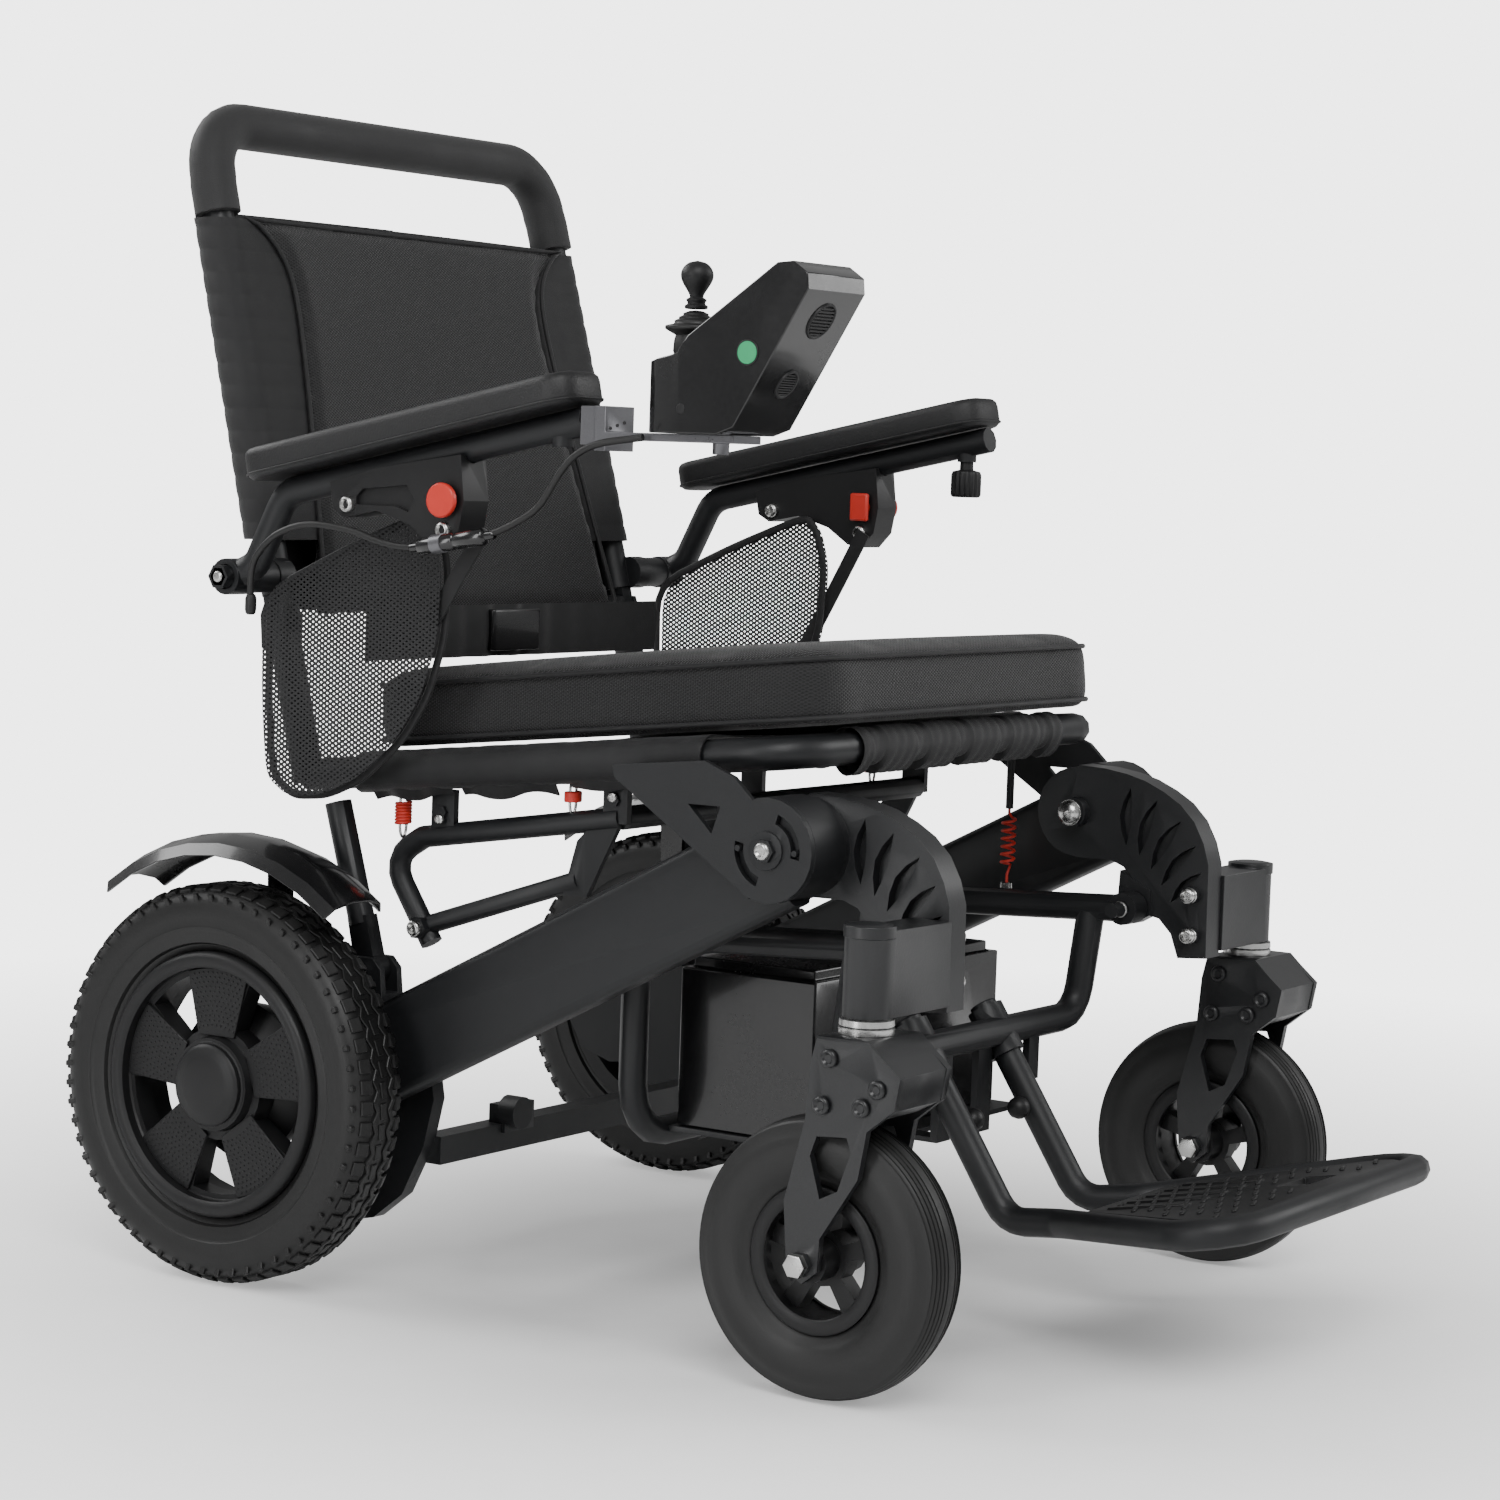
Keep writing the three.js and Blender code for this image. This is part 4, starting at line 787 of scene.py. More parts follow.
# ---- springs --------------------------------------------------------------------------------------------
class WHEELCHAIR_OT_springs(Builder, bpy.types.Operator):
    """Red extension springs with bright hooks under the seat"""

    bl_idname = "wheelchair.springs"
    bl_label = "Springs"

    def build(self, sizes):
        for name in ("spring_rear", "spring_front"):
            for side, s in SIDES:
                node = f"{name}_{side}"
                low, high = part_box(node)
                centre = (low + high) / 2
                bottom, top = low.z + 0.006, high.z - 0.006
                turns = 7
                points = []
                for k in range(turns * 16 + 1):
                    a = 2 * math.pi * k / 16
                    z = bottom + (top - bottom) * k / (turns * 16)
                    x, y = centre.x + 0.0056 * math.cos(a), centre.y + 0.0056 * math.sin(a)
                    points.append(Vector((x, y, z)))
                coil = tube_bmesh(points, 0.0013, resolution=3)
                add_piece(f"{node}_coil", coil, "red_paint", BODY_OF[node], [node], 50)
                hooks = bmesh.new()
                for z0, z1 in ((bottom, low.z - 0.004), (top, high.z + 0.004)):
                    loop = []
                    for k in range(13):
                        a = math.pi * k / 12
                        z = z0 + (z1 - z0) * math.sin(a)
                        loop.append(Vector((centre.x + 0.004 * math.cos(a), centre.y, z)))
                    hook = tube_bmesh(loop, 0.0011, resolution=3)
                    made = bpy.data.meshes.new("hook")
                    hook.to_mesh(made)
                    hook.free()
                    hooks.from_mesh(made)
                add_piece(f"{node}_hooks", hooks, "bright_steel", BODY_OF[node], sharp=50)


# ---- upholstery -------------------------------------------------------------------------------------------
RAIL_REAR, RAIL_FRONT = (-6.0, 391.0), (-458.0, 441.0)
RAIL_X = 225.0
SEAT_SLOPE = math.atan2(RAIL_FRONT[1] - RAIL_REAR[1], RAIL_REAR[0] - RAIL_FRONT[0])
POST_FOOT, POST_TOP = (23.9, 515.0), (126.5, 903.0)
ARM_X = 288.5
ARM_KNEE, ARM_FRONT = (-31.0, 612.5), (-314.0, 673.5)
ARM_SLOPE = math.atan2(ARM_FRONT[1] - ARM_KNEE[1], ARM_KNEE[0] - ARM_FRONT[0])


def line_at(a, b, t):
    return a[1] + (b[1] - a[1]) * (t - a[0]) / (b[0] - a[0])


def rail_z(y):
    return line_at(RAIL_REAR, RAIL_FRONT, y)


def arm_z(y):
    return line_at(ARM_KNEE, ARM_FRONT, y)


def post_y(z):
    return POST_FOOT[0] + (POST_TOP[0] - POST_FOOT[0]) * (z - POST_FOOT[1]) / (POST_TOP[1] - POST_FOOT[1])


def post_x(z):
    return 229.0 - 8.5 * (z - 515.0) / 315.0


def remeshed(piece, voxel):
    """Voxel-remeshes a piece in place."""
    remesh = piece.modifiers.new("Remesh", "REMESH")
    remesh.mode = "VOXEL"
    remesh.voxel_size = voxel
    remesh.use_smooth_shade = True
    apply_modifiers(piece)


def apply_modifiers(piece):
    graph = bpy.context.evaluated_depsgraph_get()
    old = piece.data
    made = bpy.data.meshes.new_from_object(piece.evaluated_get(graph), depsgraph=graph)
    made.name = piece.name
    piece.modifiers.clear()
    piece.data = made
    bpy.data.meshes.remove(old)


def inflate(piece, most, pressure=4.0):
    """Swells a closed piece with a short cloth simulation; no point moves further than `most` metres."""
    scene = bpy.context.scene
    rest = [v.co.copy() for v in piece.data.vertices]
    cloth = piece.modifiers.new("Cloth", "CLOTH")
    cloth.settings.use_pressure = True
    cloth.settings.uniform_pressure_force = pressure
    cloth.settings.effector_weights.gravity = 0.0
    cloth.point_cache.frame_start = 1
    cloth.point_cache.frame_end = 20
    for step in range(1, 21):
        scene.frame_set(step)
    graph = bpy.context.evaluated_depsgraph_get()
    swollen = piece.evaluated_get(graph).to_mesh()
    moved = [v.co.copy() for v in swollen.vertices]
    piece.evaluated_get(graph).to_mesh_clear()
    piece.modifiers.remove(cloth)
    for vert, start, end in zip(piece.data.vertices, rest, moved):
        step = end - start
        if step.length > most:
            step *= most / step.length
        vert.co = start + step
    scene.frame_set(1)


def subdivided(piece, levels=1):
    modifier = piece.modifiers.new("Smooth", "SUBSURF")
    modifier.levels = levels
    modifier.render_levels = levels


def rounded_slab(width, depth, height, corner, edge, steps=6):
    """A slab with round corners in plan and soft edges, base centre at the origin, sizes in mm."""
    bm = bmesh.new()
    bmesh.ops.create_cube(bm, size=1.0, matrix=Matrix.Diagonal((width * MM, depth * MM, height * MM, 1)))
    bmesh.ops.translate(bm, verts=bm.verts, vec=(0, 0, height * MM / 2))
    upright = [e for e in bm.edges if abs(e.verts[0].co.z - e.verts[1].co.z) > 1e-6]
    bmesh.ops.bevel(
        bm, geom=upright, offset=corner * MM, segments=steps, profile=0.5, affect="EDGES", material=-1
    )
    flat = [e for e in bm.edges if e.is_manifold and e.calc_face_angle() > 1.2]
    bmesh.ops.bevel(
        bm, geom=flat, offset=edge * MM, segments=3, profile=0.5, affect="EDGES", material=-1
    )
    return bm


def round_loop(width, depth, corner, z, steps=8):
    """Points of a rounded rectangle in mm, at height z."""
    points = []
    for quarter, (sx, sy) in enumerate(((1, 1), (-1, 1), (-1, -1), (1, -1))):
        for k in range(steps + 1):
            a = math.pi / 2 * (quarter + k / steps)
            points.append((
                sx * (width / 2 - corner) + corner * math.cos(a),
                sy * (depth / 2 - corner) + corner * math.sin(a), z,
            ))
    return points


class WHEELCHAIR_OT_cushion(Builder, bpy.types.Operator):
    """Seat cushion in air mesh, swollen by simulation, with piped seams"""

    bl_idname = "wheelchair.cushion"
    bl_label = "Seat cushion"

    def build(self, sizes):
        middle_y = -263.0
        place = Matrix.Translation(P(0, middle_y, rail_z(middle_y) + 17.6))
        place = place @ Matrix.Rotation(-SEAT_SLOPE, 4, "X")
        bm = rounded_slab(444, 434, 55, 46, 11)
        bmesh.ops.transform(bm, matrix=place, verts=bm.verts)
        cushion = add_piece("seat_cushion_cover", bm, "air_mesh", None)
        remeshed(cushion, 0.006)
        inflate(cushion, sizes.puff)
        back = place.inverted()
        for vert in cushion.data.vertices:
            local = back @ vert.co
            local.z = max(local.z, 0.0004)
            centre = max(0.0, 1 - (local.x / 0.21) ** 2) * max(0.0, 1 - (local.y / 0.205) ** 2)
            if local.z > 0.04:
                local.z += 0.0035 * centre
            vert.co = place @ local
        subdivided(cushion)
        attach(cushion, "seat")
        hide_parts("seat_cushion")
        for name, inset, z in (("top", 13.0, 49.0), ("bottom", 13.0, 6.0)):
            loop = [place @ Vector([c * MM for c in p]) for p in round_loop(448 - inset, 438 - inset, 46, z)]
            piping = tube_bmesh(loop, sizes.piping, closed=True, resolution=3)
            add_piece(f"cushion_piping_{name}", piping, "nylon", "seat", sharp=60)


def panel_half(z):
    """Half width of the padded back panel: waisted below its top corners."""
    if z > 757:
        return 165 + 44 * ((z - 757) / 74) ** 3
    return 165 + 27 * ((757 - z) / 214) ** 1.3


def mapped_grid(columns, rows, shape):
    """A grid whose points go where shape(u, v) says, u and v from 0 to 1, in mm."""
    bm = bmesh.new()
    bmesh.ops.create_grid(bm, x_segments=columns, y_segments=rows, size=0.5)
    for vert in bm.verts:
        vert.co = P(*shape(vert.co.x + 0.5, vert.co.y + 0.5))
    return bm


def thicken(bm, thickness):
    bmesh.ops.recalc_face_normals(bm, faces=bm.faces)
    bmesh.ops.solidify(bm, geom=bm.faces[:], thickness=thickness)
    return bm


class WHEELCHAIR_OT_backrest(Builder, bpy.types.Operator):
    """Padded mesh back panel with piping and ribbed wraps round the posts"""

    bl_idname = "wheelchair.backrest"
    bl_label = "Backrest cover"

    LOW, HIGH = 514.0, 831.0

    def front(self, z, s):
        return post_y(z) - 17.5 + 7.0 * (1 - s * s)

    def build(self, sizes):
        low, high = self.LOW, self.HIGH

        def panel_shape(u, v):
            z = low + (high - low) * v
            s = 2 * u - 1
            return (s * panel_half(z), self.front(z, s), z)

        bm = mapped_grid(60, 50, panel_shape)
        thicken(bm, -9.5 * MM)
        panel = add_piece("back_panel", bm, "air_mesh", None)
        remeshed(panel, 0.0045)
        inflate(panel, 0.004)
        subdivided(panel)
        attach(panel, "backrest")
        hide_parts("back_sling")
        edge = []
        for k in range(41):
            v = k / 40
            edge.append(panel_shape(0.0, v))
        for k in range(1, 20):
            edge.append(panel_shape(k / 20, 1.0))
        for k in range(41):
            edge.append(panel_shape(1.0, 1 - k / 40))
        loop = [P(x, y - 1.5, min(z, high - 4)) for x, y, z in edge]
        piping = tube_bmesh(loop, sizes.piping, resolution=3)
        add_piece("back_piping", piping, "nylon", "backrest", sharp=60)
        for side, s in SIDES:
            self.wrap(side, s, sizes)

    def wrap(self, side, s, sizes):
        radius = 16.6
        low, high = 574.0, 826.0

        def wrap_shape(u, v):
            z = low + (high - low) * v
            px, py = post_x(z), post_y(z)
            rib = 0.8 * abs(math.sin(math.pi * z * MM / sizes.rib)) ** 0.6
            inner = panel_half(z) - 5
            if u < 0.42:
                t = u / 0.42
                x = inner + (px - inner) * t
                y = (py - 14.0) * (1 - t) + (py - radius - rib) * t
                y -= rib * (1 - t) * 0.6
            else:
                a = math.pi * (u - 0.42) / 0.58
                x = px + (radius + rib) * math.sin(a)
                y = py - (radius + rib) * math.cos(a)
            return (s * x, y, z)

        bm = mapped_grid(28, 150, wrap_shape)
        thicken(bm, -2.4 * MM)
        wrapper = add_piece(f"back_wrap_{side}", bm, "nylon", "backrest", sharp=60)

        def rear_shape(u, v):
            z = self.LOW + 4 + (self.HIGH + 1 - self.LOW - 4) * v
            x = post_x(z) * (1 - u)
            y = post_y(z) + 15.0 - 12.0 * math.sin(u * math.pi / 2)
            return (s * x, y, z)

        rear = thicken(mapped_grid(24, 30, rear_shape), 1.6 * MM)
        add_piece(f"back_rear_{side}", rear, "nylon", "backrest", sharp=60)


class WHEELCHAIR_OT_push_handle(Builder, bpy.types.Operator):
    """Foam-covered push handle"""

    bl_idname = "wheelchair.push_handle"
    bl_label = "Push handle"

    def build(self, sizes):
        radius = 44.0
        top_y, top_z = POST_TOP
        up = Vector((0, POST_TOP[0] - POST_FOOT[0], POST_TOP[1] - POST_FOOT[1])).normalized()
        corner_x = post_x(top_z)
        points = []
        base_z = 829.8
        for s in (1, -1):
            leg = []
            for k in range(6):
                z = base_z + (top_z - 50 - base_z) * k / 5
                leg.append(Vector((s * post_x(z), post_y(z), z)))
            centre = Vector((s * (corner_x - radius), top_y, top_z)) - up * radius
            arc = []
            for k in range(13):
                a = math.pi / 2 * k / 12
                arc.append(centre + Vector((s, 0, 0)) * radius * math.cos(a) + up * radius * math.sin(a))
            run = leg + arc
            points += run if s > 0 else run[::-1]
        path = [P(*p) for p in points]
        foam = tube_bmesh(path, 18.4 * MM, resolution=9)
        bmesh.ops.subdivide_edges(
            foam, edges=[e for e in foam.edges if e.calc_length() > 0.03], cuts=6, use_grid_fill=True
        )
        rng = random.Random(4)
        phase = [rng.uniform(0, 6.28) for _ in range(3)]
        for vert in foam.verts:
            bend = max(0.0, abs(vert.co.x) / MM - 165.0) / 50.0
            wave = math.sin(vert.co.x * 640 + vert.co.z * 520 + phase[0])
            wave *= math.sin(vert.co.z * 900 + phase[1])
            vert.co.z += 0.0005 * min(1.0, bend) * wave
        handle = add_piece("handle_grip", foam, "foam_grip", "backrest", ["handle_foam"], 50)


class WHEELCHAIR_OT_seat_sling(Builder, bpy.types.Operator):
    """Seat sling stretched between the rails, and the wrap on the front cross tube"""

    bl_idname = "wheelchair.seat_sling"
    bl_label = "Seat sling"

    def build(self, sizes):
        rear, front = -62.0, -388.0
        radius = 14.6
        arc = math.radians(205)
        flat_half = RAIL_X
        total = 2 * (radius * arc + flat_half)

        def section(d):
            """x and z at distance d from the middle of the sling, on one side."""
            if d <= flat_half:
                sag = 7.0 * (1 - (d / flat_half) ** 2)
                return d, radius - sag
            a = (d - flat_half) / radius
            return RAIL_X + radius * math.sin(a), radius * math.cos(a)

        def shape(u, v):
            d = (u - 0.5) * total
            x, z = section(abs(d))
            y = rear + (front - rear) * v
            crease = 0.5 * math.sin(y * 0.21) * math.sin(y * 0.083 + 1.0)
            if abs(d) > flat_half:
                x += crease
            return (math.copysign(x, d), y, rail_z(y) + z + 0.5 * crease)

        bm = mapped_grid(110, 60, shape)
        thicken(bm, 1.5 * MM)
        sling = add_piece("seat_sling_cloth", bm, "nylon", "seat", ["seat_sling"], 60)
        y, z = RAIL_FRONT

        def wrap(u, v):
            x = -152 + 300 * v
            a = 2 * math.pi * u
            band = 1.0 if abs((x + 4) % 62 - 31) < 22 else 0.0
            r = 14.2 + 1.3 * band + 0.35 * math.sin(x * 0.5 + 2 * a)
            hang = 5.0 * max(0.0, -math.sin(a)) ** 3 * band
            return (x, y + r * math.cos(a), z + r * math.sin(a) - hang)

        sleeve = mapped_grid(28, 150, wrap)
        bmesh.ops.remove_doubles(sleeve, verts=sleeve.verts, dist=1e-5)
        add_piece("front_tube_wrap", sleeve, "nylon", "seat", sharp=50)
        for side, s in SIDES:
            for k, (y0, y1, drop) in enumerate(((-75, -150, 26), (-160, -250, 30), (-262, -372, 22))):

                def flap(u, v, y0=y0, y1=y1, drop=drop):
                    yy = y0 + (y1 - y0) * u
                    fall = drop * v * (1 - 0.25 * math.sin(u * 9 + k))
                    inward = 4.0 + 7.0 * v + 2.0 * math.sin(u * 14 + k)
                    return (s * (RAIL_X + 10 - inward), yy, rail_z(yy) - 12.0 - fall * 0.35)

                hanging = thicken(mapped_grid(24, 8, flap), 1.4 * MM)
                add_piece(f"seat_flap_{side}_{k}", hanging, "nylon", "seat", sharp=60)


class WHEELCHAIR_OT_lap_belt(Builder, bpy.types.Operator):
    """Lap belt lying behind the cushion with its buckle"""

    bl_idname = "wheelchair.lap_belt"
    bl_label = "Lap belt"

    def build(self, sizes):
        def shape(u, v):
            x = -196 + 392 * u
            z = 481.5 + 42 * v
            fold = 2.6 * math.sin(x * 0.16) * math.exp(-((x + 20) / 70) ** 2)
            return (x, -34.4 - 1.4 * math.sin(v * math.pi) + fold, z)

        bm = thicken(mapped_grid(120, 10, shape), 2.2 * MM)
        belt = add_piece("lap_belt_webbing", bm, "nylon", "seat", ["lap_belt"], 60)
        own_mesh(belt)
        shell = rounded_slab(64, 9, 34, 3.5, 1.6)
        bmesh.ops.transform(shell, matrix=Matrix.Translation(P(-12, -40.5, 486)), verts=shell.verts)
        buckle = add_piece("lap_belt_buckle", shell, "gloss_black", "seat", sharp=50)
        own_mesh(buckle)


GUARD_OUTLINE = [
    (8, 535), (-72, 572), (-148, 602), (-160, 588), (-168, 560), (-166, 508), (-152, 464),
    (-128, 428), (-90, 396), (-55, 381), (-22, 378), (0, 392), (6, 450),
]


def rounded_outline(corners, steps=4):
    """A smooth closed line through straight runs: each corner is cut by a small curve."""
    points = []
    count = len(corners)
    for i, corner in enumerate(corners):
        here, before, after = (Vector(c) for c in (corner, corners[i - 1], corners[(i + 1) % count]))
        start = here.lerp(before, 0.3)
        end = here.lerp(after, 0.3)
        for k in range(steps + 1):
            t = k / steps
            points.append(start.lerp(here, t).lerp(here.lerp(end, t), t))
    return points


class WHEELCHAIR_OT_side_guards(Builder, bpy.types.Operator):
    """See-through net side guards with bound edges and a strap"""

    bl_idname = "wheelchair.side_guards"
    bl_label = "Side guards"

    def build(self, sizes):
        outline = rounded_outline(GUARD_OUTLINE)
        for side, s in SIDES:
            body = BODY_OF[f"side_guard_{side}"]
            bm = bmesh.new()
            face = bm.faces.new([bm.verts.new(P(s * 261.4, p.x, p.y)) for p in outline])
            for ring in range(6):
                bmesh.ops.inset_region(bm, faces=[face], thickness=9 * MM, use_even_offset=True)
                lift = 2.4 * (1 - ring / 6)
                bmesh.ops.translate(bm, verts=face.verts[:], vec=(s * lift * MM, 0, 0))
            bmesh.ops.triangulate(bm, faces=[face])
            thicken(bm, 0.7 * MM)
            net = add_piece(f"guard_net_{side}", bm, "net", body, [f"side_guard_{side}"], 60)
            loop = [P(s * 261.4, p.x, p.y) for p in outline]
            binding = tube_bmesh(loop, 3.4 * MM, closed=True, resolution=3)
            to_middle = Matrix.Translation((-s * 261.4 * MM, 0, 0))
            bmesh.ops.scale(binding, verts=binding.verts, vec=(0.5, 1, 1), space=to_middle)
            add_piece(f"guard_binding_{side}", binding, "nylon", body, sharp=60)
            ends = ((-204, 590), (-142, 478)) if s > 0 else ((-204, 590), (-158, 520))

            def strap(u, v, a=ends[0], b=ends[1]):
                along = Vector(b) - Vector(a)
                side_way = Vector((-along.y, along.x)).normalized()
                spot = Vector(a) + along * v + side_way * (u - 0.5) * 13
                return (s * (266.4 + 0.8 * math.sin(v * 3.1)), spot.x, spot.y)

            band = thicken(mapped_grid(4, 30, strap), 1.5 * MM)
            add_piece(f"guard_strap_{side}", band, "nylon", body, sharp=60)


class WHEELCHAIR_OT_arm_pads(Builder, bpy.types.Operator):
    """Moulded armrest pads"""

    bl_idname = "wheelchair.arm_pads"
    bl_label = "Armrest pads"

    def build(self, sizes):
        middle_y = -161.0
        for side, s in SIDES:
            bm = rounded_slab(60, 316, 23.5, 21, 6)
            bmesh.ops.subdivide_edges(
                bm, edges=[e for e in bm.edges if e.calc_length() > 0.05], cuts=8, use_grid_fill=True
            )
            for vert in bm.verts:
                if vert.co.z > 0.018:
                    crown = 1 - (vert.co.x / 0.03) ** 2
                    vert.co.z += 0.0012 * max(0.0, crown)
            place = Matrix.Translation(P(s * ARM_X, middle_y, arm_z(middle_y) + 12.0))
            bmesh.ops.transform(bm, matrix=place @ Matrix.Rotation(-ARM_SLOPE, 4, "X"), verts=bm.verts)
            node = f"arm_pad_{side}"
            pad = add_piece(f"arm_pad_skin_{side}", bm, "pad_skin", BODY_OF[node], [node], 35)
            turn = place @ Matrix.Rotation(-ARM_SLOPE, 4, "X")
            loop = [turn @ Vector([c * MM for c in p]) for p in round_loop(60.4, 316.4, 21.2, 4.2, 6)]
            seam = tube_bmesh(loop, 0.9 * MM, closed=True, resolution=2)
            add_piece(f"arm_pad_seam_{side}", seam, "pad_skin", BODY_OF[node], sharp=60)


# ---- footplate, controls and small fittings -------------------------------------------------------------
PANEL_POINT = (-462.0, 760.4)
PANEL_SLOPE = math.atan2(0.5704, 0.8214)
STICK = (-288.5, -405.0)
CASE_OUTER_X = -325.0


class WHEELCHAIR_OT_footplate(Builder, bpy.types.Operator):
    """Moulded footplate with a grid of raised diagonal grips"""

    bl_idname = "wheelchair.footplate"
    bl_label = "Footplate"

    def build(self, sizes):
        node = NODES["footplate"]
        body = BODY_OF["footplate"]
        smooth_copy("footplate", "matte_black", sizes.edge)
        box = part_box("footplate")
        low, high = box[0], box[1]
        tree = BVHTree.FromPolygons(
            [node.matrix_world @ v.co for v in node.data.vertices],
            [tuple(p.vertices) for p in node.data.polygons],
        )
        bm = bmesh.new()
        pitch_x, pitch_y = 0.030, 0.0135
        y = low[1] + 0.020
        while y < high[1] - 0.014:
            x = -0.165
            while x <= 0.166:
                self.grip(bm, tree, x, y, high[2] + 0.02)
                x += pitch_x
            y += pitch_y
        add_piece("footplate_grips", bm, "matte_black", body, sharp=50)

    def grip(self, bm, tree, x, y, top):
        """One raised bar, only where the plate is flat and wide enough under it."""
        spots = []
        for dx, dy in ((-0.0105, -0.004), (0.0105, 0.004), (-0.0105, 0.004), (0.0105, -0.004)):
            spot, normal, _, _ = tree.ray_cast(Vector((x + dx, y + dy, top)), Vector((0, 0, -1)))
            if spot is None or normal.z < 0.8:
                return
            spots.append(spot)
        middle_spot = sum(spots, Vector()) / 4
        across = (spots[1] - spots[0]).normalized()
        face_way = across.cross(spots[3] - spots[2]).normalized()
        if max(abs((spot - middle_spot).dot(face_way)) for spot in spots) > 0.0006:
            return
        normal = across.cross(spots[2] - spots[3]).normalized()
        if normal.z < 0:
            normal = -normal
        side = normal.cross(across).normalized()
        turn = Matrix((across, side, normal)).transposed().to_4x4()
        shape = Matrix.Translation(middle_spot + normal * 0.0005) @ turn
        shape = shape @ Matrix.Diagonal((0.021, 0.0032, 0.0024, 1))
        made = bmesh.ops.create_cube(bm, size=1.0, matrix=shape)
        edges = {e for v in made["verts"] for e in v.link_edges}
        bmesh.ops.bevel(
            bm, geom=list(edges), offset=0.0008, segments=2, profile=0.5, affect="EDGES", material=-1
        )


def on_panel(x, up_slope, out=0.0):
    """Frame of the sloping top face of the controller: a matrix whose Z is the face normal."""
    tangent = Vector((0, math.cos(PANEL_SLOPE), -math.sin(PANEL_SLOPE)))
    normal = Vector((0, math.sin(PANEL_SLOPE), math.cos(PANEL_SLOPE)))
    spot = P(x, PANEL_POINT[0], PANEL_POINT[1]) + tangent * up_slope * MM + normal * out * MM
    turn = Matrix((Vector((1, 0, 0)), tangent, normal)).transposed().to_4x4()
    return Matrix.Translation(spot) @ turn


def disc(bm, place, radius, height, steps=28, bevel=0.3):
    """A short soft-edged cylinder standing on the XY plane of `place`, sizes in mm."""
    profile = [(0, 0), (radius, 0), (radius, height - bevel), (radius - bevel, height), (0, height)]
    lathe_at(bm, place, profile, steps)


def lathe_at(bm, place, profile, steps=28):
    """Spins a (radius, height) profile in mm about the Z axis of `place`."""
    verts = [bm.verts.new(place @ Vector((r * MM, 0, h * MM))) for r, h in profile]
    edges = [bm.edges.new(pair) for pair in zip(verts, verts[1:])]
    axis = place.to_3x3() @ Vector((0, 0, 1))
    bmesh.ops.spin(
        bm, geom=verts + edges, cent=place.translation, axis=axis, angle=math.tau, steps=steps, use_merge=True
    )
    bmesh.ops.remove_doubles(bm, verts=bm.verts, dist=1e-6)
    bmesh.ops.recalc_face_normals(bm, faces=bm.faces)


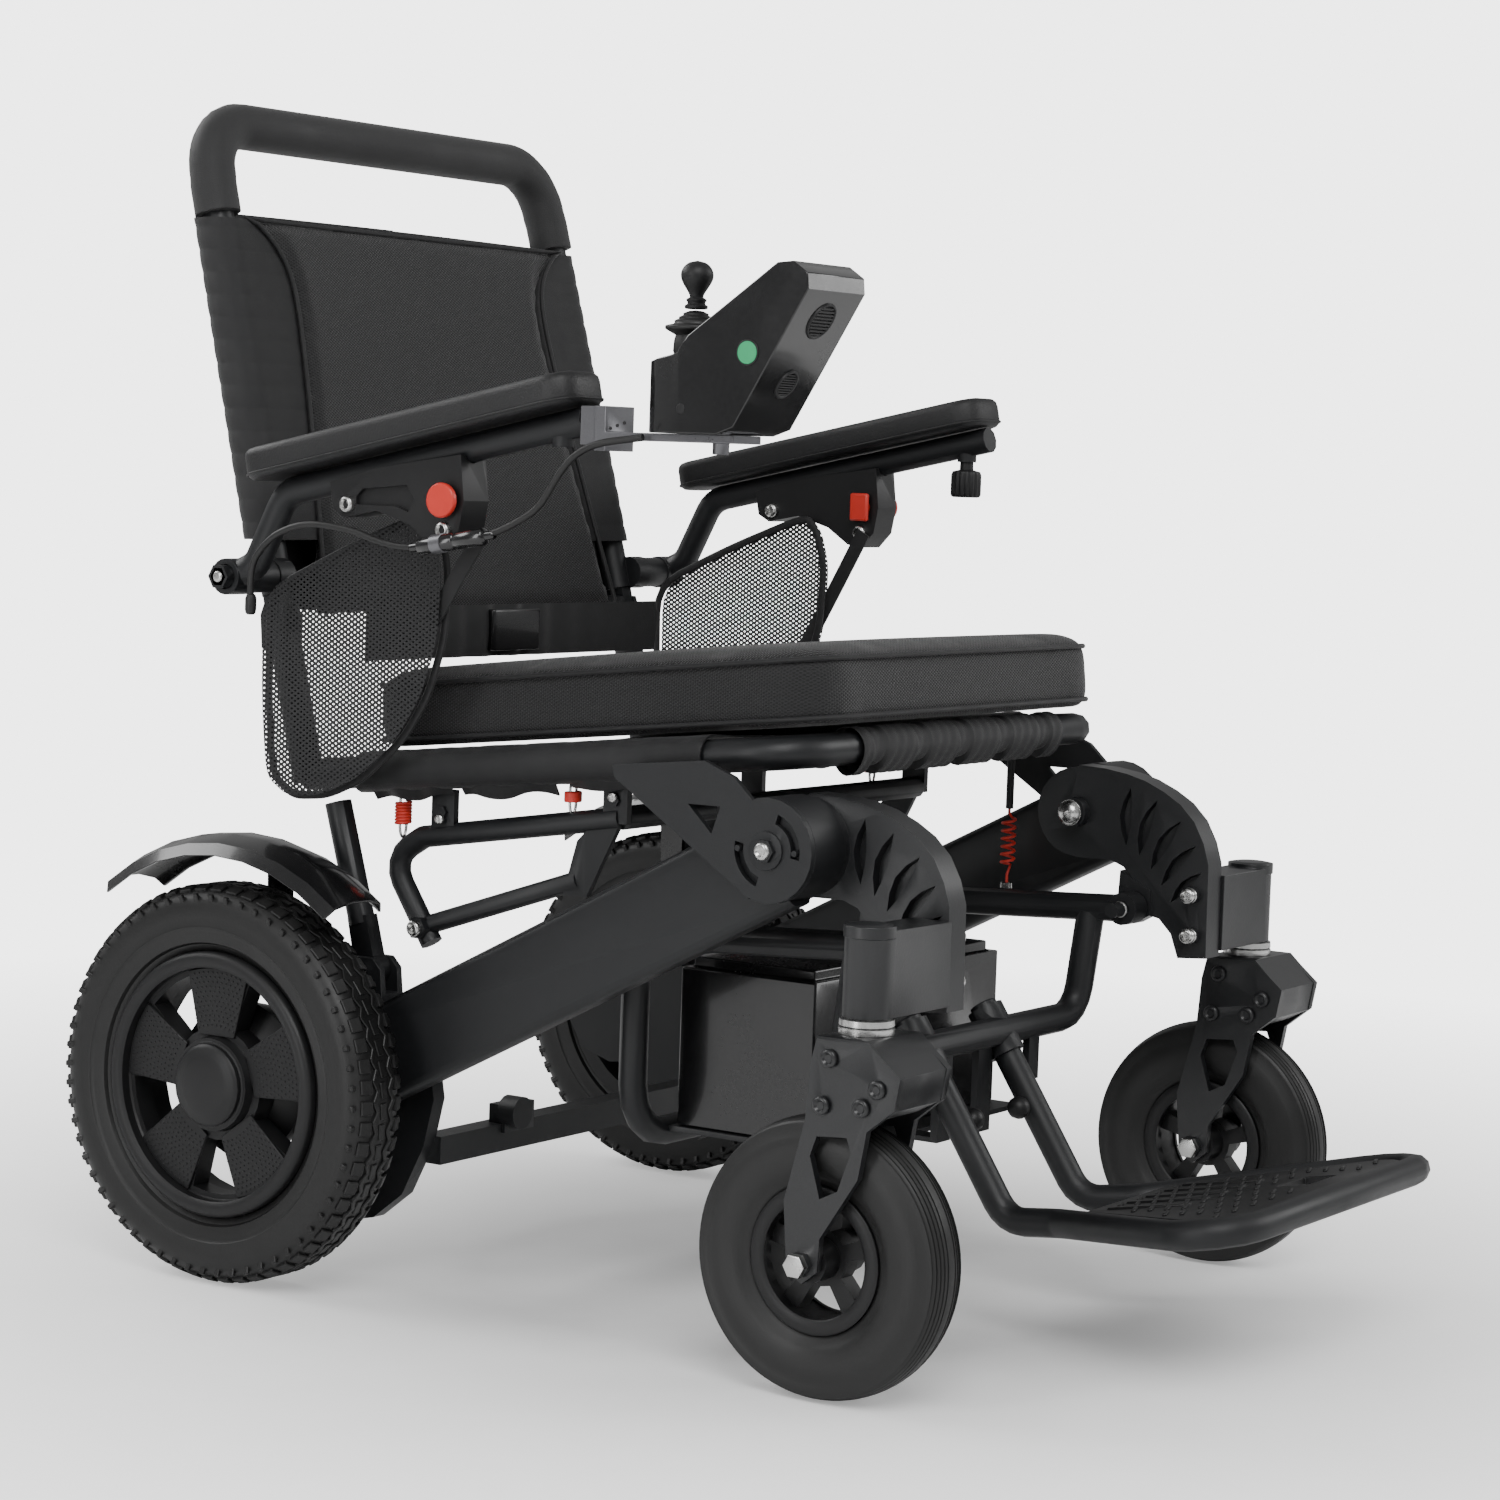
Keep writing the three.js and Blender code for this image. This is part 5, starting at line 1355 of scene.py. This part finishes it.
class WHEELCHAIR_OT_controller(Builder, bpy.types.Operator):
    """Joystick controller case with its grilles, keys and plain status dot"""

    bl_idname = "wheelchair.controller"
    bl_label = "Controller"

    def build(self, sizes):
        body = BODY_OF["controller_case"]
        smooth_copy("controller_case", "gloss_black", 1.6 * MM)
        side = Matrix.Translation(P(CASE_OUTER_X, -474.3, 722.4)) @ Matrix.Rotation(-math.pi / 2, 4, "Y")
        bm = bmesh.new()
        disc(bm, side @ Matrix.Translation((0, 0, -0.0003)), 9.2, 1.0)
        add_piece("controller_dot_ring", bm, "matte_black", body, sharp=40)
        bm = bmesh.new()
        disc(bm, side @ Matrix.Translation((0, 0, 0.0002)), 7.9, 0.9)
        add_piece("controller_dot", bm, "green_dot", body, sharp=40)
        bm = bmesh.new()
        hole = Matrix.Translation(P(CASE_OUTER_X, -419.7, 682.9)) @ Matrix.Rotation(-math.pi / 2, 4, "Y")
        disc(bm, hole @ Matrix.Translation((0, 0, -0.0005)), 3.6, 0.8)
        for k in range(3):
            place = Matrix.Translation(P(CASE_OUTER_X, -372 + 6 * k, 672 - 2 * k))
            place = place @ Matrix.Rotation(-math.pi / 2, 4, "Y")
            disc(bm, place @ Matrix.Translation((0, 0, -0.0005)), 1.3, 0.8, 12)
        add_piece("controller_holes", bm, "matte_black", body, sharp=40)
        for name, y, z, radius in (("upper", -511, 745, 14), ("lower", -483, 702, 11)):
            self.grille(name, y, z, radius, body)
        bm = bmesh.new()
        for k, x in enumerate((-307, -270)):
            disc(bm, on_panel(x, -34, -0.4), 5.2 if k else 6.6, 2.2, 24, 0.7)
        for x in (-316, -289, -262):
            disc(bm, on_panel(x, -13, -0.4), 3.6, 1.4, 20, 0.5)
        add_piece("controller_keys", bm, "matte_black", body, sharp=40)
        bm = bmesh.new()
        for k in range(5):
            bar = on_panel(-300.5 + 6 * k, -23.5, -0.2) @ Matrix.Diagonal((0.0042, 0.0024, 0.0014, 1))
            bmesh.ops.create_cube(bm, size=1.0, matrix=bar)
        add_piece("controller_lamps", bm, "green_dot", body, sharp=40)

    def grille(self, name, y, z, radius, body):
        """A round slotted grille lying on the front underside of the case."""
        along = Vector((0, 58, -95)).normalized()
        normal = Vector((0, -95, -58)).normalized()
        turn = Matrix((Vector((1, 0, 0)), along, normal)).transposed().to_4x4()
        line_start, line_end = (-522.0, 766.0), (-464.0, 671.0)
        run = Vector((line_end[0] - line_start[0], line_end[1] - line_start[1]))
        t = ((y - line_start[0]) * run.x + (z - line_start[1]) * run.y) / run.length_squared
        spot = P(STICK[0], line_start[0] + run.x * t, line_start[1] + run.y * t)
        place = Matrix.Translation(spot) @ turn
        bm = bmesh.new()
        profile = [
            (radius - 2.2, -0.4), (radius - 2.2, 0.5), (radius - 1.2, 1.3), (radius, 1.1),
            (radius + 0.6, -0.4),
        ]
        lathe_at(bm, place, profile, 40)
        reach = radius - 2.0
        for k in range(-4, 5):
            offset = k * reach / 4.7
            half = math.sqrt(max(0.1, reach ** 2 - offset ** 2))
            bar = place @ Matrix.Translation((0, offset * MM, 0.0002))
            bar = bar @ Matrix.Diagonal((2 * half * MM, reach / 9 * MM, 0.0016, 1))
            bmesh.ops.create_cube(bm, size=1.0, matrix=bar)
        add_piece(f"controller_grille_{name}", bm, "matte_black", body, sharp=40)


class WHEELCHAIR_OT_joystick(Builder, bpy.types.Operator):
    """Joystick with its bellows boot, flange and knob"""

    bl_idname = "wheelchair.joystick"
    bl_label = "Joystick"

    def build(self, sizes):
        place = Matrix.Translation(P(STICK[0], STICK[1], 726))
        boot = [
            (0, -15), (8, -13.5), (13, -9), (15.5, -2), (15, 5), (14, 9), (20.5, 12.6), (21.5, 13.5),
            (21.5, 15.2), (20.8, 15.8), (15.5, 17),
        ]
        for k in range(3):
            radius, height = 15 - 3 * k, 18 + 2.6 * k
            boot += [(radius, height), (radius, height + 1.2), (radius - 1.4, height + 1.9)]
        boot += [(5, 26.2), (0, 26.8)]
        bm = bmesh.new()
        lathe_at(bm, place, boot, 48)
        add_piece("joystick_bellows", bm, "soft_rubber", "stick_gimbal", ["joystick_boot"], 50)
        stick = [
            (0, 27.4), (6.5, 27.5), (7.8, 27.8), (8.2, 28.6), (8.2, 30), (6.4, 31), (6.4, 32.5),
            (7.2, 33.2), (7.2, 34.4), (5.2, 35.6),
        ]
        neck, swell, widest = 4.8, 11.6, 0.6
        knob_low, knob_top = 36.0, 61.5
        for k in range(21):
            t = k / 20
            if t < widest:
                radius = neck + (swell - neck) * math.sin(math.pi / 2 * t / widest) ** 1.5
            else:
                radius = swell * math.sqrt(max(0.0, 1 - ((t - widest) / (1 - widest)) ** 2))
            stick.append((radius, knob_low + (knob_top - knob_low) * t))
        bm = bmesh.new()
        lathe_at(bm, place, stick, 40)
        add_piece("joystick_knob", bm, "matte_black", "stick", ["joystick"], 50)


LEAD_ROUTE = [
    (-313, -380, 662.3), (-318, -346, 657), (-318, -325, 648), (-318, -311, 634), (-318, -295, 612),
    (-318, -277, 600), (-318, -250, 589), (-318, -215, 581.5), (-318, -178, 576.5), (-318, -148, 579.5),
    (-318, -119, 587), (-318, -80, 590), (-316, -50, 583), (-313, -29, 570), (-311, -17, 553),
    (-309, -15, 520),
]


def smooth_route(points, steps=6):
    """Catmull-Rom points along a route."""
    padded = [points[0] * 2 - points[1], *points, points[-1] * 2 - points[-2]]
    made = []
    for a, b, c, d in zip(padded, padded[1:], padded[2:], padded[3:]):
        for k in range(steps):
            t = k / steps
            made.append(0.5 * (
                2 * b + (c - a) * t + (2 * a - 5 * b + 4 * c - d) * t * t + (3 * b - a - 3 * c + d) * t ** 3
            ))
    return made + [points[-1]]


class WHEELCHAIR_OT_lead(Builder, bpy.types.Operator):
    """Controller lead with its inline coupling and clamp band, ending in a rubber boot at the armrest pivot
    """

    bl_idname = "wheelchair.lead"
    bl_label = "Controller lead"

    def build(self, sizes):
        body = BODY_OF["controller_lead"]
        route = LEAD_ROUTE
        path = [P(*p) for p in smooth_route([Vector(p) for p in route])]
        bm = tube_bmesh(path, 2.6 * MM, resolution=6)
        lead = add_piece("controller_lead_cord", bm, "soft_rubber", body, ["controller_lead"], 60)
        start, end = Vector((-318, -246, 587.5)), Vector((-318, -186, 577.5))
        axis = (end - start).normalized()
        turn = axis.to_track_quat("Z", "Y").to_matrix().to_4x4()
        bm = bmesh.new()
        half = (end - start).length
        profile = [
            (2.4, -9), (3.4, -8), (3.6, -1), (5.6, 0), (6.4, 1), (6.4, half * 0.42), (5.9, half * 0.43),
            (5.9, half * 0.47), (6.4, half * 0.48), (6.4, half - 1), (5.6, half), (3.6, half + 1),
            (3.4, half + 8), (2.4, half + 9),
        ]
        lathe_at(bm, Matrix.Translation(P(*start)) @ turn, profile, 24)
        add_piece("lead_coupling", bm, "gloss_black", body, sharp=40)
        bm = bmesh.new()
        band = [(6.5, 0), (7.2, 0.2), (7.2, 9.8), (6.5, 10)]
        lathe_at(bm, Matrix.Translation(P(*(start + axis * 38))) @ turn, band, 28)
        add_piece("lead_clamp", bm, "silver_paint", body, sharp=40)
        bm = bmesh.new()
        tail = Vector(route[-1])
        before = Vector(route[-2])
        way = (tail - before).normalized()
        turn = way.to_track_quat("Z", "Y").to_matrix().to_4x4()
        boot = [(0, 1.5), (2.8, 1.2), (3.9, 0), (4.4, -3), (4.4, -11), (3.4, -14), (2.5, -14.5)]
        lathe_at(bm, Matrix.Translation(P(*tail)) @ turn, boot, 24)
        add_piece("lead_end_boot", bm, "soft_rubber", body, sharp=40)


class WHEELCHAIR_OT_clamp_knob(Builder, bpy.types.Operator):
    """Fluted hand knob that clamps the controller arm"""

    bl_idname = "wheelchair.clamp_knob"
    bl_label = "Clamp knob"

    def build(self, sizes):
        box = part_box("clamp_knob")
        low, high = Vector(box[0]), Vector(box[1])
        centre = (low + high) / 2
        radius = min(high.x - low.x, high.y - low.y) / 2 / MM
        tall = (high.z - low.z) / MM
        place = Matrix.Translation((centre.x, centre.y, low.z))
        bm = bmesh.new()
        profile = [
            (0, 0), (radius - 2.5, 0), (radius - 0.8, 0.8), (radius, 2.5), (radius, tall * 0.5),
            (radius - 1.2, tall * 0.58), (radius * 0.45, tall * 0.62), (radius * 0.42, tall), (0, tall),
        ]
        lathe_at(bm, place, profile, 96)
        for vert in bm.verts:
            offset = Vector((vert.co.x - centre.x, vert.co.y - centre.y))
            if offset.length > (radius - 2.0) * MM and vert.co.z < low.z + tall * 0.57 * MM:
                a = math.atan2(offset.y, offset.x)
                flute = 1 - 0.09 * (0.5 + 0.5 * math.cos(a * 16)) ** 2
                vert.co.x = centre.x + offset.x * flute
                vert.co.y = centre.y + offset.y * flute
        add_piece("clamp_knob_fluted", bm, "matte_black", BODY_OF["clamp_knob"], ["clamp_knob"], 40)


class WHEELCHAIR_OT_fittings(Builder, bpy.types.Operator):
    """Battery lid plate and its screws, and the forward spring pair"""

    bl_idname = "wheelchair.fittings"
    bl_label = "Small fittings"

    def build(self, sizes):
        self.battery(sizes)
        self.spring_pair()

    def battery(self, sizes):
        body = BODY_OF["battery"]
        low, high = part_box("battery")
        centre = (low + high) / 2
        bm = rounded_slab(96, 38, 1.2, 3, 0.3)
        bmesh.ops.translate(bm, verts=bm.verts, vec=(centre.x, low.y + 0.045, high.z - 0.0002))
        add_piece("battery_plate", bm, "plate_grey", body, sharp=40)
        bm = bmesh.new()
        for x in (-0.05, 0.05):
            for y in (low.y + 0.012, high.y - 0.012):
                bolt = Matrix.Translation((centre.x + x, y, high.z - 0.0003))
                disc(bm, bolt, 4.0, 1.8, 20, 0.6)
        add_piece("battery_screws", bm, "bright_steel", body, sharp=40)

    def spring_pair(self):
        for side, s in SIDES:
            x, y = s * 213, -390
            turns, radius, low, high = 6, 5.4, 322, 361
            points = [P(x, y, 307), P(x, y, 314)]
            steps = turns * 16
            for k in range(steps + 1):
                a = math.tau * k / 16
                z = low + (high - low) * k / steps
                points.append(P(x + radius * math.cos(a), y + radius * math.sin(a), z))
            points += [P(x, y, 365), P(x, y, 371)]
            bm = tube_bmesh(points, 1.2 * MM, resolution=3)
            add_piece(f"forward_spring_{side}", bm, "red_paint", "seat", sharp=60)
            bm = bmesh.new()
            foot = Matrix.Translation(P(x, y, 303))
            disc(bm, foot, 5.5, 5, 20, 0.8)
            add_piece(f"forward_spring_foot_{side}", bm, "bright_steel", "seat", sharp=40)
            bm = tube_bmesh([P(x, y, 369), P(x, y, 425)], 3.2 * MM, resolution=4)
            add_piece(f"forward_spring_rod_{side}", bm, "powder_coat", "seat", sharp=60)


# ---- stage ------------------------------------------------------------------------------------------------
def studio_light(name, spot, aim, size, power, tint=(1, 1, 1)):
    data = bpy.data.lights.new(name, "AREA")
    data.shape = "RECTANGLE"
    data.size, data.size_y = size
    data.energy = power
    data.color = tint
    light = bpy.data.objects.new(name, data)
    bpy.context.scene.collection.objects.link(light)
    light.location = spot
    light.rotation_euler = (Vector(aim) - Vector(spot)).to_track_quat("-Z", "Y").to_euler()


class WHEELCHAIR_OT_stage(Builder, bpy.types.Operator):
    """Floor, backdrop, studio lights and camera"""

    bl_idname = "wheelchair.stage"
    bl_label = "Stage"

    def build(self, sizes):
        self.floor()
        self.surround()
        self.world()
        studio_light("key_light", (-2.6, -2.2, 3.4), (0, 0, 0.45), (2.4, 2.4), 120)
        studio_light("fill_light", (2.6, -3.0, 2.2), (0, 0, 0.4), (2.6, 1.8), 60)
        studio_light("rim_light", (-0.6, 3.2, 2.6), (0, 0, 0.6), (3.0, 1.4), 70)
        studio_light("side_strip", (-3.4, 0.6, 1.3), (0, 0, 0.35), (0.7, 2.4), 34)
        self.camera()

    def floor(self):
        bm = bmesh.new()
        bmesh.ops.create_grid(bm, x_segments=1, y_segments=1, size=30.0)
        mesh = bpy.data.meshes.new("floor")
        bm.to_mesh(mesh)
        bm.free()
        mesh.materials.append(finish("floor_paper"))
        floor = bpy.data.objects.new("floor", mesh)
        bpy.context.scene.collection.objects.link(floor)
        floor.location.z = CAD_BOX[0][2]

    def surround(self):
        """A white dome and a white veil over the far floor; only the camera sees them."""
        dome = bmesh.new()
        bmesh.ops.create_uvsphere(dome, u_segments=48, v_segments=24, radius=28.0)
        veil = bmesh.new()
        bmesh.ops.create_grid(veil, x_segments=1, y_segments=1, size=27.0)
        bmesh.ops.translate(veil, verts=veil.verts, vec=(0, 0, CAD_BOX[0][2] + 0.0003))
        for name, bm, fades in (("studio_dome", dome, False), ("studio_veil", veil, True)):
            mesh = bpy.data.meshes.new(name)
            bm.to_mesh(mesh)
            bm.free()
            mesh.materials.append(self.white(name, fades))
            white = bpy.data.objects.new(name, mesh)
            bpy.context.scene.collection.objects.link(white)
            white.visible_diffuse = False
            white.visible_glossy = False
            white.visible_transmission = False
            white.visible_shadow = False

    def white(self, name, fades):
        material = bpy.data.materials.new(name)
        material.use_nodes = True
        g = Graph(material.node_tree)
        shader = material.node_tree.nodes["Principled BSDF"]
        shader.inputs["Base Color"].default_value = (0, 0, 0, 1)
        shader.inputs["Roughness"].default_value = 1.0
        shader.inputs["Specular IOR Level"].default_value = 0.0
        shader.inputs["Emission Color"].default_value = (1, 1, 1, 1)
        shader.inputs["Emission Strength"].default_value = 4.0
        if fades:
            place = g.node("ShaderNodeTexCoord").outputs["Object"]
            distance = g.node(
                "ShaderNodeVectorMath", operation="LENGTH", inputs={0: place}
            ).outputs["Value"]
            cover = g.math("MINIMUM", g.ramp(distance, 0.25, 1.9), 1.0)
            material.node_tree.links.new(cover, shader.inputs["Alpha"])
        return material

    def world(self):
        world = bpy.data.worlds.new("studio")
        world.use_nodes = True
        background = world.node_tree.nodes["Background"]
        background.inputs["Color"].default_value = (1.0, 1.0, 1.0, 1.0)
        background.inputs["Strength"].default_value = 0.36
        bpy.context.scene.world = world

    def camera(self):
        azimuth, elevation, roll = (math.radians(a) for a in (-56.39, 4.53, 1.97))
        back = Vector((
            math.sin(azimuth) * math.cos(elevation),
            -math.cos(azimuth) * math.cos(elevation),
            math.sin(elevation),
        ))
        level = Vector((0, 0, 1)).cross(back).normalized()
        upright = back.cross(level)
        right = level * math.cos(roll) + upright * math.sin(roll)
        up = upright * math.cos(roll) - level * math.sin(roll)
        data = bpy.data.cameras.new("camera")
        data.lens = 87.21
        data.sensor_width = 36.0
        data.clip_end = 100.0
        camera = bpy.data.objects.new("camera", data)
        bpy.context.scene.collection.objects.link(camera)
        turn = Matrix((right, up, back)).transposed().to_4x4()
        camera.matrix_world = Matrix.Translation(P(-2404.73, -1869.78, 647.74)) @ turn
        bpy.context.scene.camera = camera


OPERATORS = (
    WHEELCHAIR_OT_metalwork,
    WHEELCHAIR_OT_drive_tyres,
    WHEELCHAIR_OT_caster_tyres,
    WHEELCHAIR_OT_wheel_faces,
    WHEELCHAIR_OT_fasteners,
    WHEELCHAIR_OT_springs,
    WHEELCHAIR_OT_cushion,
    WHEELCHAIR_OT_backrest,
    WHEELCHAIR_OT_push_handle,
    WHEELCHAIR_OT_seat_sling,
    WHEELCHAIR_OT_lap_belt,
    WHEELCHAIR_OT_side_guards,
    WHEELCHAIR_OT_arm_pads,
    WHEELCHAIR_OT_footplate,
    WHEELCHAIR_OT_controller,
    WHEELCHAIR_OT_joystick,
    WHEELCHAIR_OT_lead,
    WHEELCHAIR_OT_clamp_knob,
    WHEELCHAIR_OT_fittings,
    WHEELCHAIR_OT_stage,
)


class WHEELCHAIR_PT_panel(bpy.types.Panel):
    """Lists the sizes, colours and build steps of the wheelchair"""

    bl_idname = "WHEELCHAIR_PT_panel"
    bl_label = "Power wheelchair"
    bl_space_type = "VIEW_3D"
    bl_region_type = "UI"
    bl_category = "Wheelchair"

    def draw(self, context):
        column = self.layout.column()
        for group in (context.scene.wheelchair_sizes, context.scene.wheelchair_colours):
            for name in group.__annotations__:
                column.prop(group, name)
        for operator in OPERATORS:
            column.operator(operator.bl_idname)


CLASSES = (WheelchairSizes, WheelchairColours, *OPERATORS, WHEELCHAIR_PT_panel)


def register():
    for cls in CLASSES:
        bpy.utils.register_class(cls)
    bpy.types.Scene.wheelchair_sizes = bpy.props.PointerProperty(type=WheelchairSizes)
    bpy.types.Scene.wheelchair_colours = bpy.props.PointerProperty(type=WheelchairColours)


def unregister():
    del bpy.types.Scene.wheelchair_colours
    del bpy.types.Scene.wheelchair_sizes
    for cls in reversed(CLASSES):
        bpy.utils.unregister_class(cls)


def main():
    register()
    for operator in OPERATORS:
        group, name = operator.bl_idname.split(".")
        getattr(getattr(bpy.ops, group), name)()


if __name__ == "__main__":
    main()
